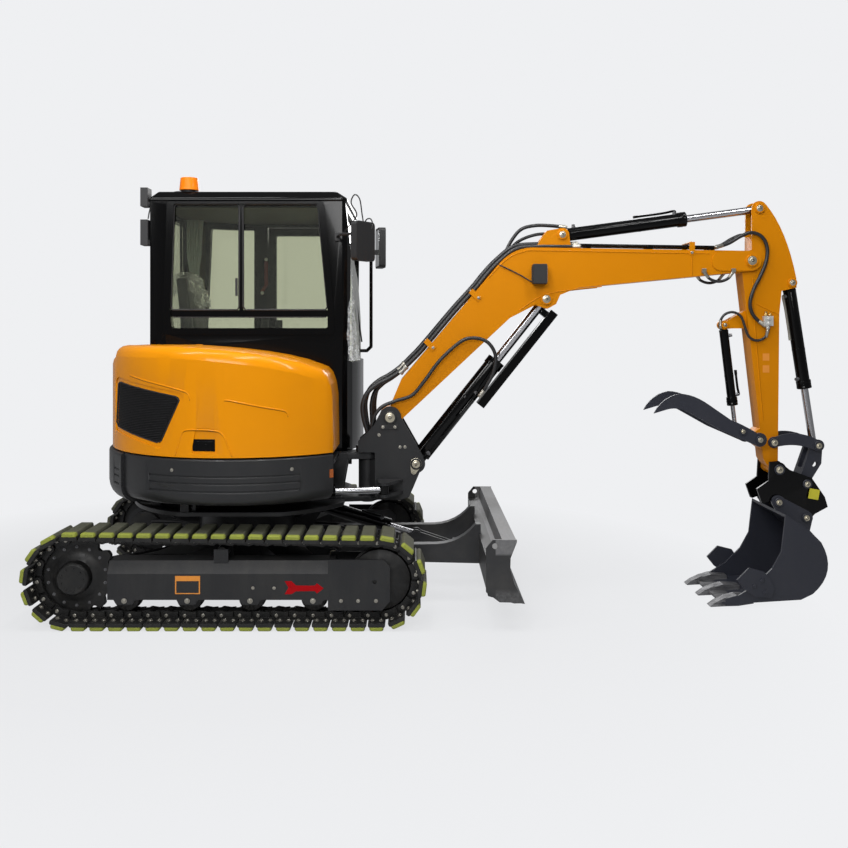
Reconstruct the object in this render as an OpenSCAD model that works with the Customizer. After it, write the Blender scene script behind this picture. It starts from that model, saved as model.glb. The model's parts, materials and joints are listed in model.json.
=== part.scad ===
// Mini excavator with a boom that swings, a quick coupler, a bucket and a thumb.
// The origin is on the ground under the slew axis, X points forward and Z up.

/* [Tracks] */
// Distance between the centres of the two tracks
gauge = 1400; // [1150:10:1700]
// Width of a track shoe
shoe_w = 300; // [250:10:360]
// Distance from one chain pin to the next
pitch = 101.6; // [90:0.1:130]
// Number of shoes on one track
shoes = 46; // [40:1:56]
// Teeth on the drive sprocket
sprocket_teeth = 13; // [11:1:15]
// Radius of the chain pins round the idler
idler_r = 200; // [160:1:240]
// Height of the chain pins above the sole of a shoe
sole_h = 57; // [45:1:70]

/* [House] */
// Height of the slew ring's lower face above the ground
ring_z = 536; // [500:1:700]
// Radius that the counterweight keeps within
tail_r = 850; // [780:1:1000]
// Radius of the hood and the skirts
house_r = 832; // [760:1:980]
// Height of the deck plate's top face
deck_z = 890; // [850:1:1100]
// Height of the hood at the rear
hood_z = 1552; // [1350:1:1750]
// Thickness of the hood and bonnet panels with their stiffeners
panel_t = 22; // [8:1:35]

/* [Cab] */
// Height of the cab walls' top edge
cab_top = 2436; // [2100:1:2700]
// Thickness of the cab walls
cab_wall = 45; // [25:1:70]
// Thickness of the window glass
glass_t = 6; // [4:0.5:10]

/* [Working arm] */
// Sideways place of the boom, to the right of the slew axis
boom_y = -150; // [-220:1:-80]
// Width of the boom's box
boom_w = 150; // [110:1:190]
// Width of the arm's box
arm_w = 120; // [90:1:150]
// Width of the bucket
bucket_w = 540; // [350:10:800]
// Bore of the lifting eye on the bucket link
lift_eye_d = 34; // [20:1:40]

/* [Blade] */
// Width of the blade
blade_w = 1700; // [1300:10:2100]
// Bore of the tie-down holes in the blade's end plates
tie_hole_d = 32; // [20:1:45]

/* [Hidden] */
$fn = 48;
// Facets of the house's wide curves
wide_fn = 180;

// Running and seating clearances
seat_gap = 0.3;
slide_gap = 0.4;
side_gap = 4;
panel_gap = 6;

// Colours
yellow = [0.86, 0.50, 0.04];
boom_yellow = [0.78, 0.46, 0.03];
frame_grey = [0.20, 0.20, 0.21];
tool_grey = [0.22, 0.22, 0.25];
gloss_black = [0.06, 0.06, 0.07];
chrome = [0.80, 0.80, 0.82];
glass_tint = [0.55, 0.65, 0.65, 0.4];
shoe_olive = [0.33, 0.34, 0.22];
seat_grey = [0.30, 0.31, 0.33];

// Pins of the working arm, as [x, z]
swing_x = 755;
boom_foot = [898, 1107];
boom_cyl_foot = [1056, 824];
boom_cyl_eye = [1854, 1829];
arm_cyl_foot = [1955, 2225];
arm_pivot = [3109, 2064];
arm_cyl_eye = [3164, 2386];
bucket_cyl_foot = [3365, 1930];
guide_pivot = [3246, 952];
bucket_pivot = [3268, 790];
link_pin = [3518, 933];
coupler_pin = [3438, 702];
thumb_pivot = [3140, 974];
thumb_cyl_eye = [3037, 1025];
thumb_cyl_foot = [2960, 1671];

// Layers of the bucket linkage, outwards from the boom's plane: rod eye, bucket
// link, guide links and coupler plates
rod_eye_y = 24;
link_half = 58;
link_y = 66;
link_t = 14;
coupler_y = 84;
coupler_t = 18;
coupler_half = coupler_y + coupler_t;
boss_half = coupler_y - seat_gap;
thumb_in = 118;
thumb_out = 132;

// Pins of the blade, as [x, z], and of the swing cylinder, as [x, y]
blade_pivot = [560, 300];
blade_cyl_foot = [440, 530];
blade_cyl_eye = [1056, 341];
swing_cyl_foot = [-150, -560];
swing_cyl_eye = [865, -372];
swing_cyl_z = 688;

// ---------------------------------------------------------------- helpers

// A side profile, drawn as [x, z], extruded from y0 to y1
module side(y0, y1)
  translate([0, y1, 0]) rotate([90, 0, 0]) linear_extrude(y1 - y0) children();

// A round bar along Y
module bar_y(p, r, y0, y1)
  translate([p.x, y1, p.y]) rotate([90, 0, 0]) cylinder(r = r, h = y1 - y0);

// A round bar from one [x, z] point to another, at height y
module bar_xz(a, b, r, y = boom_y) {
  d = b - a;
  translate([a.x, y, a.y]) rotate([0, 90 - atan2(d.y, d.x), 0]) cylinder(r = r, h = norm(d));
}

// Everything in children, and again on the other side of the plane y = at
module both_sides(at = 0) {
  children();
  translate([0, 2 * at, 0]) mirror([0, 1, 0]) children();
}

// Points of an arc round c
function arc(c, r, a0, a1, n = 8) =
  [for (i = [0 : n]) c + r * [cos(a0 + (a1 - a0) * i / n), sin(a0 + (a1 - a0) * i / n)]];

// Points of a quadratic curve from a to c that leans towards b
function bend(a, b, c, n = 8) =
  [for (i = [0 : n]) let (t = i / n) (1 - t) * (1 - t) * a + 2 * t * (1 - t) * b + t * t * c];

// The point at distance d from a towards b, and w to the left of that line
function towards(a, b, d, w = 0) = a + (d * (b - a) + w * [a.y - b.y, b.x - a.x]) / norm(b - a);

// A pin along Y that is fixed in what carries it, with a head at each end
pin_head_t = 9;
pin_float = 1 + seat_gap;
module pin(p, r, half, y = boom_y) {
  bar_y(p, r, y - half - 1, y + half + 1);
  pin_heads(p, r, half, y);
}
module pin_heads(p, r, half, y = boom_y)
  both_sides(y) bar_y(p, r + 9, y - half - pin_head_t, y - half + 1);

// A small hinge along Z: the pin with lugs that reach to y = reach, and the knuckle
// whose leaf reaches the other way to y = -reach
hinge_r = 8;
hinge_pin_r = 4;
knuckle_half = 20;
hinge_lug = 12;
module hinge_pin(reach) {
  translate([0, 0, -knuckle_half - hinge_lug]) cylinder(r = hinge_pin_r, h = 2 * (knuckle_half + hinge_lug));
  for (z = [-knuckle_half - hinge_lug, knuckle_half]) translate([0, 0, z]) {
    cylinder(r = hinge_r, h = hinge_lug);
    translate([-hinge_r, 0, 0]) cube([2 * hinge_r, reach, hinge_lug]);
  }
}
module knuckle(reach) {
  half = knuckle_half - seat_gap;
  difference() {
    union() {
      translate([0, 0, -half]) cylinder(r = hinge_r, h = 2 * half);
      translate([-hinge_r + 2, -reach, -half]) cube([2 * hinge_r - 4, reach, 2 * half]);
    }
    translate([0, 0, -half - 1]) cylinder(r = hinge_pin_r + seat_gap, h = 2 * half + 2);
  }
}

// Hinges of the hood as [y, z], of the bonnet as [x, z] and of the door as [x, y]
hood_hinge = [-181, 1543];
bonnet_hinge = [-599, 1498];
door_hinge = [-30, 832];
module at_hood_hinges() for (x = [-520, -280]) translate([x, hood_hinge[0], hood_hinge[1]]) rotate([0, 90, 0]) children();
module at_bonnet_hinges()
  for (y = [20, 420]) translate([bonnet_hinge[0], y, bonnet_hinge[1]]) rotate([90, 0, 0]) rotate([0, 0, -90]) children();
module at_door_hinges() for (z = [1150, 2150]) translate([door_hinge[0], door_hinge[1], z]) children();

// ---------------------------------------------------------------- tracks

sprocket_r = sprocket_teeth * pitch / (2 * PI);
wheel_gap = (shoes * pitch - PI * (sprocket_r + idler_r)) / 2;
sprocket_c = [-836, sole_h + sprocket_r];
idler_c = [sprocket_c.x + wheel_gap, sole_h + idler_r];
top_slope = 2 * atan((sprocket_r - idler_r) / wheel_gap);
idler_arc = idler_r * (180 - top_slope) * PI / 180;
link_in = 28;
link_out = 25;
row_in = 20;
row_out = 50;
bush_r = 18;
shoe_base = 14;
plate_top = 35;

// Place and heading [x, z, degrees] of the chain at distance s from the sprocket's foot
function chain(s) =
  s < wheel_gap ? [sprocket_c.x + s, sole_h, 0] :
  s < wheel_gap + idler_arc ?
    let (a = (s - wheel_gap) / idler_r * 180 / PI)
      [idler_c.x + idler_r * sin(a), idler_c.y - idler_r * cos(a), a] :
  s < 2 * wheel_gap + idler_arc ?
    let (u = s - wheel_gap - idler_arc, a = 180 - top_slope)
      [idler_c.x + idler_r * sin(a) + u * cos(a), idler_c.y - idler_r * cos(a) + u * sin(a), a] :
    let (a = 180 - top_slope + (s - 2 * wheel_gap - idler_arc) / sprocket_r * 180 / PI)
      [sprocket_c.x + sprocket_r * sin(a), sprocket_c.y - sprocket_r * cos(a), a];

// A point of the track: u along the chain and v outwards from the pins
function on_chain(s, u, v) =
  let (p = chain(s)) [p.x + u * cos(p[2]) + v * sin(p[2]), p.y + u * sin(p[2]) - v * cos(p[2])];

function shoe_outline(s) = [
  for (q = [[-47, shoe_base], [-47, plate_top - 6], [-41, plate_top], [-38, sole_h - 4], [-34, sole_h],
            [34, sole_h], [38, sole_h - 4], [41, plate_top], [47, plate_top - 6], [47, shoe_base]])
    on_chain(s, q[0], q[1])
];

module chain_row(y0, y1)
  side(y0, y1) difference() {
    polygon([for (i = [0 : shoes - 1]) on_chain(i * pitch, 0, link_out)]);
    polygon([for (i = [0 : shoes - 1]) on_chain(i * pitch, 0, -link_in)]);
  }

// One track: two rows of links, the bushes between them and a shoe on each link
module track()
  union() {
    chain_row(row_in, row_out);
    chain_row(-row_out, -row_in);
    for (i = [0 : shoes - 1]) {
      bar_y(on_chain(i * pitch, 0, 0), bush_r, -row_in - 1, row_in + 1);
      side(-shoe_w / 2, shoe_w / 2) polygon(shoe_outline((i + 0.5) * pitch));
    }
  }

module track_right() color(shoe_olive) translate([0, -gauge / 2, 0]) track();
module track_left() color(shoe_olive) translate([0, gauge / 2, 0]) track();

// Drive sprocket whose teeth stand between the bushes, on its travel motor
tooth_w = 34;
motor_r = 105;
hub_r = 92;
function tooth_outline() = [
  for (k = [0 : sprocket_teeth - 1])
    let (a0 = 270 - k * 360 / sprocket_teeth)
      for (q = [[0, -bush_r - 2], [-3.2, -bush_r - 0.5], [-6.4, -4], [-9.5, 9], [-12, 12],
                [-360 / sprocket_teeth + 12, 12], [-360 / sprocket_teeth + 9.5, 9],
                [-360 / sprocket_teeth + 6.4, -4], [-360 / sprocket_teeth + 3.2, -bush_r - 0.5]])
        sprocket_c + (sprocket_r + q[1]) * [cos(a0 + q[0]), sin(a0 + q[0])]
];

module sprocket() {
  side(-tooth_w / 2, tooth_w / 2) polygon(tooth_outline());
  translate([sprocket_c.x, 0, sprocket_c.y]) rotate([90, 0, 0]) rotate_extrude()
    polygon([[0, -150], [motor_r, -150], [motor_r, -40], [hub_r + 50, -30], [hub_r + 50, 17],
             [hub_r + 20, 30], [hub_r, 34], [hub_r, 86], [hub_r - 12, 98], [0, 98]]);
}

module sprockets() color(frame_grey) both_sides() translate([0, -gauge / 2, 0]) sprocket();

// Front idler, the bottom rollers and a carrier roller
roller_r = 70;
carrier_r = 32;
roller_x = [-546, -200, 145, 490];
carrier_x = -20;
idler_wheel_r = (idler_r - link_in) * cos(90 / PI * pitch / idler_r) - seat_gap;
roller_z = sole_h + link_in + roller_r + seat_gap;
top_run_z = sprocket_c.y + sprocket_r - (carrier_x - sprocket_c.x) * tan(top_slope);
carrier_z = top_run_z - link_in - carrier_r - seat_gap;
frame_half = 100;
frame_t = 12;

// A wheel along Y whose middle flange runs between the link rows
module flanged(p, r, rim, axle_r, half)
  translate([p.x, 0, p.y]) rotate([90, 0, 0]) rotate_extrude()
    polygon([[0, -half], [axle_r, -half], [axle_r, -row_out - 6], [r, -row_out - 2], [r, -row_in + 2],
             [r + rim, -row_in + 5], [r + rim, row_in - 5], [r, row_in - 2], [r, row_out + 2],
             [axle_r, row_out + 6], [axle_r, half], [0, half]]);

module idlers_and_rollers() color(frame_grey) both_sides() translate([0, -gauge / 2, 0]) {
  axle_half = frame_half - frame_t - seat_gap;
  flanged(idler_c, idler_wheel_r, 8, 45, axle_half);
  for (x = roller_x) flanged([x, roller_z], roller_r, 7, 30, axle_half);
  flanged([carrier_x, carrier_z], carrier_r, 0.01, 20, frame_half - 40);
}

// Side frame of one track, open below, with the idler's guard plates in front
frame_rear = -639;
frame_front = 573;
frame_top = 366;
frame_low = 158;
module frame_section()
  polygon([[-frame_half, frame_low], [-frame_half, 301], [-62, frame_top], [62, frame_top],
           [frame_half, 301], [frame_half, frame_low], [frame_half - frame_t, frame_low],
           [frame_half - frame_t, 296], [57, frame_top - frame_t], [-57, frame_top - frame_t],
           [-frame_half + frame_t, 296], [-frame_half + frame_t, frame_low]]);

module guard_plate()
  difference() {
    side(-frame_half, -frame_half + frame_t)
      polygon([[frame_front - 1, 100], [870, 100], [913, 150], [913, 340], [880, 378], [frame_front - 1, 378]]);
    bar_y([idler_c.x - 28, idler_c.y], 12, -frame_half - 1, -frame_half + frame_t + 1);
  }

module track_frame() {
  translate([frame_rear, 0, 0]) rotate([90, 0, 90]) linear_extrude(frame_front - frame_rear) frame_section();
  both_sides() {
    guard_plate();
    for (x = roller_x)
      side(-frame_half, -frame_half + frame_t)
        polygon([[x - 45, frame_low + 1], [x - 30, 131], [x + 30, 131], [x + 45, frame_low + 1]]);
  }
  // cross plates that join the guard plates ahead of the tensioner
  translate([frame_front, -frame_half + 1, 300]) cube([30, 2 * frame_half - 2, 60]);
  // seat for the carrier roller
  for (m = [0, 1]) mirror([0, m, 0])
    translate([carrier_x - 40, -74, frame_top - frame_t]) cube([80, 14, carrier_z - frame_top + 34]);
  // ring that carries the travel motor, on the machine's side of the frame
  difference() {
    union() {
      bar_y(sprocket_c, motor_r + 35, frame_half - 2 * frame_t, frame_half);
      side(frame_half - 2 * frame_t, frame_half)
        polygon([[sprocket_c.x, sprocket_c.y - 110], [frame_rear + 1, frame_low], [frame_rear + 1, 320],
                 [sprocket_c.x, sprocket_c.y + 110]]);
    }
    bar_y(sprocket_c, motor_r + seat_gap, 0, 2 * frame_half);
  }
}

module track_frames() color(frame_grey) both_sides() translate([0, -gauge / 2, 0]) track_frame();

// ---------------------------------------------------------------- chassis and slew ring

ring_r = 330;
ring_h = 46;
leg_reach = gauge / 2 - frame_half;
module chassis() color(frame_grey) {
  union() {
    // body with four legs to the track frames
    for (mx = [0, 1], my = [0, 1]) mirror([mx, 0, 0]) mirror([0, my, 0])
      translate([0, 0, 250]) linear_extrude(110)
        polygon([[-1, -1], [-1, 300], [130, 330], [250, leg_reach], [470, leg_reach], [360, 300], [340, -1]]);
    translate([0, 0, 250]) cylinder(r = 300, h = ring_z - 250);
    translate([0, 0, ring_z - 20]) cylinder(r = ring_r + 15, h = 20);
    // ears for the blade's push arms
    for (m = [0, 1]) mirror([0, m, 0]) {
      for (y = [280 - 52, 280 + 36])
        side(y, y + 16) {
          polygon([[330, 260], [blade_pivot.x, 255], [blade_pivot.x, 345], [330, 355]]);
          translate(blade_pivot) circle(r = 45);
        }
      pin(blade_pivot, blade_pin_r, 52, arm_y);
    }
    // ears for the blade's cylinder
    for (m = [0, 1]) mirror([0, m, 0])
      side(30, 46) {
        polygon([[280, 330], [350, 330], blade_cyl_foot + [30, -20], blade_cyl_foot + [0, 34], [280, ring_z - 30]]);
        translate(blade_cyl_foot) circle(r = 34);
      }
    pin(blade_cyl_foot, small_pin_r, 46, 0);
  }
}

module slew_ring() color(gloss_black) translate([0, 0, ring_z]) difference() {
  cylinder(r = ring_r, h = ring_h);
  translate([0, 0, -1]) cylinder(r = ring_r - 60, h = ring_h + 2);
}

// ---------------------------------------------------------------- blade

blade_x = 1436;
blade_tip = [1648, 151];
blade_top = 499;
arm_y = 280;
module blade_section()
  polygon(concat(
    [blade_tip, [1590, 150], [blade_x + 12, 190], [blade_x, 240], [blade_x, 410], [1512, 430], [1524, blade_top],
     [1600, blade_top]],
    bend([1604, 490], [1500, 330], [1600, 215], 10)));

module blade_end()
  difference() {
    side(-blade_w / 2, -blade_w / 2 + 14)
      polygon([blade_tip, [1600, 158], [1510, 160], [blade_x, 215], [blade_x, 452], [1475, blade_top], [1604, blade_top],
               [1604, 486], [1570, 400], [1568, 340], [1590, 260]]);
    bar_y([1485, 465], tie_hole_d / 2, -blade_w / 2 - 1, -blade_w / 2 + 15);
  }

module dozer_blade() color(tool_grey) union() {
  side(-blade_w / 2 + 13, blade_w / 2 - 13) blade_section();
  both_sides() {
    blade_end();
    // push arm
    difference() {
      side(-arm_y - 32, -arm_y + 32) union() {
        translate(blade_pivot) circle(r = 46);
        polygon(concat([[blade_pivot.x, blade_pivot.y - 46], [blade_x + 10, 234], [blade_x + 10, 470]],
                       bend([blade_x - 20, 470], [1330, 358], [1180, 350], 6), [[blade_pivot.x, blade_pivot.y + 46]]));
      }
      bar_y(blade_pivot, blade_pin_r + seat_gap, -arm_y - 33, -arm_y + 33);
    }
  }
  // cross beam and the gussets that take the cylinder
  translate([940, -arm_y, 250]) cube([130, 2 * arm_y, 48]);
  both_sides() side(26, 42) {
    translate(blade_cyl_eye) circle(r = 36);
    polygon([[950, 290], blade_cyl_eye + [-30, 20], blade_cyl_eye + [30, 20], [1300, 290], [1300, 250], [960, 250]]);
  }
  pin_heads(blade_cyl_eye, small_pin_r, 42, 0);
  translate([1290, -42, 250]) cube([160, 84, 60]);
}

// ---------------------------------------------------------------- cylinders

// Barrel from its foot a towards b: eye, neck, tube and gland
tube_t = 9;
gland_l = 30;
module barrel(a, b, len, r, rod_r, eye_r, half, pin_r, y = boom_y) {
  tube_start = eye_r + 10;
  neck_w = 0.75 * eye_r;
  difference() {
    union() {
      bar_y(a, eye_r, y - half, y + half);
      side(y - half, y + half)
        polygon([towards(a, b, 0, neck_w), towards(a, b, tube_start + 4, neck_w),
                 towards(a, b, tube_start + 4, -neck_w), towards(a, b, 0, -neck_w)]);
      bar_xz(towards(a, b, tube_start), towards(a, b, len - gland_l), r, y);
      bar_xz(towards(a, b, len - gland_l - 20), towards(a, b, len), r + 5, y);
    }
    bar_y(a, pin_r + seat_gap, y - half - 1, y + half + 1);
    bar_xz(towards(a, b, tube_start + 20), towards(a, b, len - gland_l), r - tube_t, y);
    bar_xz(towards(a, b, len - gland_l - 1), towards(a, b, len + 1), rod_r + slide_gap, y);
  }
}

// Rod with its eye at b and its piston, which lies back from the eye, inside the barrel
module rod(a, b, r, rod_r, eye_r, half, back, y = boom_y) {
  piston = norm(b - a) - back;
  bar_y(b, eye_r, y - half, y + half);
  bar_xz(towards(a, b, piston), towards(a, b, norm(b - a) - eye_r + 8), rod_r, y);
  bar_xz(towards(a, b, piston), towards(a, b, piston + 40), r - tube_t - slide_gap, y);
}

// Radii of the pins
boom_pin_r = 30;
boom_cyl_pin_r = 25;
arm_pin_r = 28;
arm_cyl_pin_r = 20;
bucket_pin_r = 22;
small_pin_r = 18;
blade_pin_r = 22;
thumb_pin_r = 16;
thumb_cyl_pin_r = 12;

// Radii of each cylinder's tube and rod
boom_cyl_r = 52;
boom_rod_r = 28;
arm_cyl_r = 40;
arm_rod_r = 23;
bucket_cyl_r = 38;
bucket_rod_r = 22;
thumb_cyl_r = 27;
thumb_rod_r = 13;
blade_cyl_r = 42;
blade_rod_r = 22;
swing_cyl_r = 36;
swing_rod_r = 20;

module blade_barrel() color(gloss_black)
  barrel(blade_cyl_foot, blade_cyl_eye, 470, blade_cyl_r, blade_rod_r, 34, 26, small_pin_r, 0);
module blade_rod() color(chrome)
  rod(blade_cyl_foot, blade_cyl_eye, blade_cyl_r, blade_rod_r, 28, 20, 330, 0);

module boom_barrel() color(gloss_black)
  barrel(boom_cyl_foot, boom_cyl_eye, 803, boom_cyl_r, boom_rod_r, 50, 45, boom_cyl_pin_r);
module boom_rod() color(chrome)
  rod(boom_cyl_foot, boom_cyl_eye, boom_cyl_r, boom_rod_r, 42, 36, 790);

// Bar that guards the boom's rod, hung from the rod's eye beside the cylinder
guard_t = 52;
guard_w = 96;
guard_off = -93;
guard_s = [520, 1255];
module guard_block(s0, s1, v0, v1, half)
  side(boom_y - half, boom_y + half)
    polygon([for (q = [[s0, v0], [s1, v0], [s1, v1], [s0, v1]]) towards(boom_cyl_foot, boom_cyl_eye, q[0], q[1])]);
module rod_guard() color(gloss_black) union() {
  difference() {
    guard_block(guard_s[0], guard_s[1], guard_off - guard_t / 2, guard_off + guard_t / 2, guard_w / 2);
    guard_block(guard_s[0] + 12, guard_s[1] - 12, guard_off - guard_t, guard_off + guard_t / 2 - 8, guard_w / 2 - 8);
  }
  guard_block(1195, 1235, guard_off + guard_t / 2 - 1, -boom_rod_r - seat_gap, 24);
}

module arm_barrel() color(gloss_black)
  barrel(arm_cyl_foot, arm_cyl_eye, 777, arm_cyl_r, arm_rod_r, 38, 40, arm_cyl_pin_r);
module arm_rod() color(chrome)
  rod(arm_cyl_foot, arm_cyl_eye, arm_cyl_r, arm_rod_r, 36, 32, 730);

module bucket_barrel() color(gloss_black)
  barrel(bucket_cyl_foot, link_pin, 658, bucket_cyl_r, bucket_rod_r, 34, 36, small_pin_r);
module bucket_rod() color(chrome)
  rod(bucket_cyl_foot, link_pin, bucket_cyl_r, bucket_rod_r, 34, rod_eye_y, 640);

module thumb_barrel() color(gloss_black)
  barrel(thumb_cyl_foot, thumb_cyl_eye, 500, thumb_cyl_r, thumb_rod_r, 24, 18, thumb_cyl_pin_r);
module thumb_rod() color(chrome)
  rod(thumb_cyl_foot, thumb_cyl_eye, thumb_cyl_r, thumb_rod_r, 22, 15, 330);

// The swing cylinder lies flat, so it is drawn upright and laid down
swing_foot_up = [swing_cyl_foot.x, -swing_cyl_foot.y];
swing_eye_up = [swing_cyl_eye.x, -swing_cyl_eye.y];
module lay_flat()
  translate([0, 0, swing_cyl_z]) rotate([90, 0, 0]) children();
module swing_barrel() color(gloss_black) lay_flat()
  barrel(swing_foot_up, swing_eye_up, 740, swing_cyl_r, swing_rod_r, 34, 24, small_pin_r, 0);
module swing_rod() color(chrome) lay_flat()
  rod(swing_foot_up, swing_eye_up, swing_cyl_r, swing_rod_r, 30, 22, 600, 0);

// ---------------------------------------------------------------- house

seam_a = 139;
seam_gap_a = 0.01;
hood_rear_a = 210;
corner_a = 314.6;
front_x = 585;
skirt_low = 669;
skirt_top = 931;
skirt_t = 20;
weight_in = tail_r - 130;
turn_z = ring_z + ring_h + seat_gap;
turn_t = 24;
deck_t = 22;
web_y = 95;
lug_r = 72;
lug_top = [850, 889];
lug_low = [592, 623];
swing_pin_r = 32;
engine_at = [-600, -95, 640];
engine_size = [360, 490, 540];
bay_gap = 12;

module deck_frame() color(frame_grey) union() {
  // turntable plate
  translate([0, 0, turn_z]) linear_extrude(turn_t) intersection() {
    circle(r = 700);
    translate([-800, -640]) square([1420, 1330]);
  }
  // deck plate with its opening over the engine
  translate([0, 0, deck_z - deck_t]) linear_extrude(deck_t) difference() {
    union() {
      translate([-590, -400]) square([60, 300]);
      intersection() {
        circle(r = house_r - skirt_t - seat_gap, $fn = wide_fn);
        translate([-535, -815]) square([1120, 1590]);
      }
      square([590, cab_left - skirt_t - seat_gap]);
    }
    translate([engine_at.x - 200, engine_at.y - bay_gap])
      square([engine_size.x + 200 + bay_gap, engine_size.y + 2 * bay_gap]);
    translate([590, -900]) square([400, 1800]);
  }
  // rails under the engine, and posts under the deck plate's rear corners
  for (x = [40, engine_size.x - 80])
    translate([engine_at.x + x, engine_at.y + 20, turn_z + turn_t - 1])
      cube([40, engine_size.y - 40, engine_at.z - turn_z - turn_t + 1 - seat_gap]);
  for (p = [[-470, -420], [-430, 480], [-260, -600], [200, 560]])
    translate([p.x - 25, p.y - 25, turn_z + turn_t - 1]) cube([50, 50, deck_z - turn_z - turn_t - 1]);
  // two girders that carry the swing lugs
  for (y = [boom_y - web_y, boom_y + web_y - 20])
    side(y, y + 20)
      polygon([[-210, turn_z], [560, turn_z], [600, lug_low[1]], [640, lug_top[0]], [640, deck_z - 1], [-210, deck_z - 1]]);
  // swing lugs and their pin
  for (z = [lug_top, lug_low]) translate([0, 0, z[0]]) linear_extrude(z[1] - z[0]) {
    translate([swing_x, boom_y]) circle(r = lug_r);
    polygon([[430, boom_y - web_y - 30], [swing_x, boom_y - lug_r], [swing_x, boom_y + lug_r], [430, boom_y + web_y + 30]]);
  }
  translate([swing_x, boom_y, lug_low[0]]) cylinder(r = swing_pin_r, h = lug_top[1] + 39 - lug_low[0]);
  translate([swing_x, boom_y, lug_low[0] - 10]) cylinder(r = swing_pin_r + 12, h = 11);
  // seat for the swing cylinder
  for (z = [swing_cyl_z - 44, swing_cyl_z + 26])
    translate([swing_cyl_foot.x - 60, swing_cyl_foot.y - 45, z]) cube([94, 90, 18]);
  translate([swing_cyl_foot.x - 70, swing_cyl_foot.y - 45, turn_z + 1])
    cube([20, 90, deck_z - turn_z - 2]);
  translate([swing_cyl_foot.x, swing_cyl_foot.y, swing_cyl_z - 50]) cylinder(r = small_pin_r, h = 100);
}

// A wall that follows a circle from angle a0 to a1
module curved_wall(r, t, a0, a1, z0, z1)
  rotate([0, 0, a0]) rotate_extrude(angle = a1 - a0, $fn = wide_fn) translate([r - t, z0]) square([t, z1 - z0]);

// Pressed grooves round the skirt and the counterweight: height of each
groove_z = [745, 789, 827];
groove_h = 13;
groove_deep = 6;
module grooves(r, a0, a1)
  for (z = groove_z) curved_wall(r + 1, groove_deep + 1, a0, a1, z, z + groove_h);

module counterweight() color(frame_grey) difference() {
  rotate([0, 0, seam_a + seam_gap_a]) rotate_extrude(angle = 360 - 2 * seam_a - 2 * seam_gap_a, $fn = wide_fn)
    polygon(concat([[weight_in, 640]], bend([weight_in + 12, 640], [tail_r - 6, 640], [tail_r, 740], 6),
      bend([tail_r, skirt_top - 16], [tail_r - 2, skirt_top], [tail_r - 16, skirt_top], 3),
      [[house_r - panel_t, skirt_top], [house_r - panel_t, deck_z - seat_gap], [weight_in, deck_z - seat_gap]]));
  for (m = [0, 1]) mirror([0, m, 0]) grooves(tail_r, 213.5, 219);
}

skirt_curl = 66;
module skirts() color(frame_grey) {
  difference() {
    rotate([0, 0, 360 - seam_a + seam_gap_a]) rotate_extrude(angle = corner_a - 360 + seam_a - seam_gap_a, $fn = wide_fn)
      polygon(concat([[house_r - skirt_curl, skirt_low + skirt_t], [house_r - skirt_curl, skirt_low]],
        bend([house_r - skirt_curl, skirt_low], [house_r - 6, skirt_low], [house_r, skirt_low + 72], 5),
        [[house_r, skirt_top - 8], [house_r - 8, skirt_top], [house_r - skirt_t, skirt_top]],
        bend([house_r - skirt_t, skirt_low + 76], [house_r - skirt_t - 4, skirt_low + skirt_t], [house_r - skirt_curl, skirt_low + skirt_t], 4)));
    grooves(house_r, 238.5, 299.5);
  }
  translate([0, 0, skirt_low]) linear_extrude(deck_z - skirt_low) polygon(concat(
    [[590, cab_left], [0, cab_left]], arc([0, 0], house_r, 106, seam_a - seam_gap_a, 12),
    arc([0, 0], house_r - skirt_t, seam_a - seam_gap_a, 106, 12), [[0, cab_left - skirt_t], [590, cab_left - skirt_t]]));
}

module engine() color(gloss_black) translate(engine_at) cube(engine_size);

// ---------------------------------------------------------------- cab

cab_rear = -588;
cab_right = -170;
cab_left = 820;
cab_front = 599;
nose_x = 696;
function cab_plan(t) = concat(
  [[cab_rear + t, cab_right + t], [cab_front - t * 0.6, cab_right + t]],
  bend([cab_front + 30 - t, cab_right + 30 + t], [nose_x + 8 - t, 10], [nose_x - t, 325], 5),
  bend([nose_x - t, 326], [nose_x + 8 - t, 640], [cab_front + 30 - t, cab_left - 30 - t], 5),
  [[cab_front - t * 0.6, cab_left - t]],
  [[0, cab_left - t]],
  arc([0, 0], house_r - 2 - t, 106, acos((cab_rear + t) / (house_r - 2 - t)), 5));

// Side profile of the cab, which slopes back above the front panel
function cab_profile(t, z0, z1) = [
  [cab_rear + t - 1, z0], [nose_x + 20 - t, z0], [nose_x + 20 - t, 1426], [618 - t, z1], [cab_rear + t - 1, z1]];

module cab_solid(t, z0, z1) intersection() {
  translate([0, 0, z0]) linear_extrude(z1 - z0) polygon(cab_plan(t));
  side(cab_right - 10, cab_left + 10) polygon(cab_profile(t, z0 - 1, z1 + 1));
}

sill_z = 1652;
window_top = cab_top - 17;
door_top = cab_top - 56;
door_x = [-14, 575];
module side_window()
  polygon([[-452, sill_z], [510, sill_z], [510, 1764], [448, window_top], [-440, window_top], [-462, 1764]]);

// The rear window and the windscreen as [y, z], the left rear window as [x, z]
module rear_window() polygon([[-90, 1640], [540, 1640], [520, cab_top - 76], [-70, cab_top - 76]]);
module windscreen() polygon([[-105, 1440], [760, 1440], [740, cab_top - 46], [-90, cab_top - 46]]);
module corner_window() polygon([[-430, 1640], [-110, 1640], [-110, cab_top - 76], [-400, cab_top - 76]]);

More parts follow.
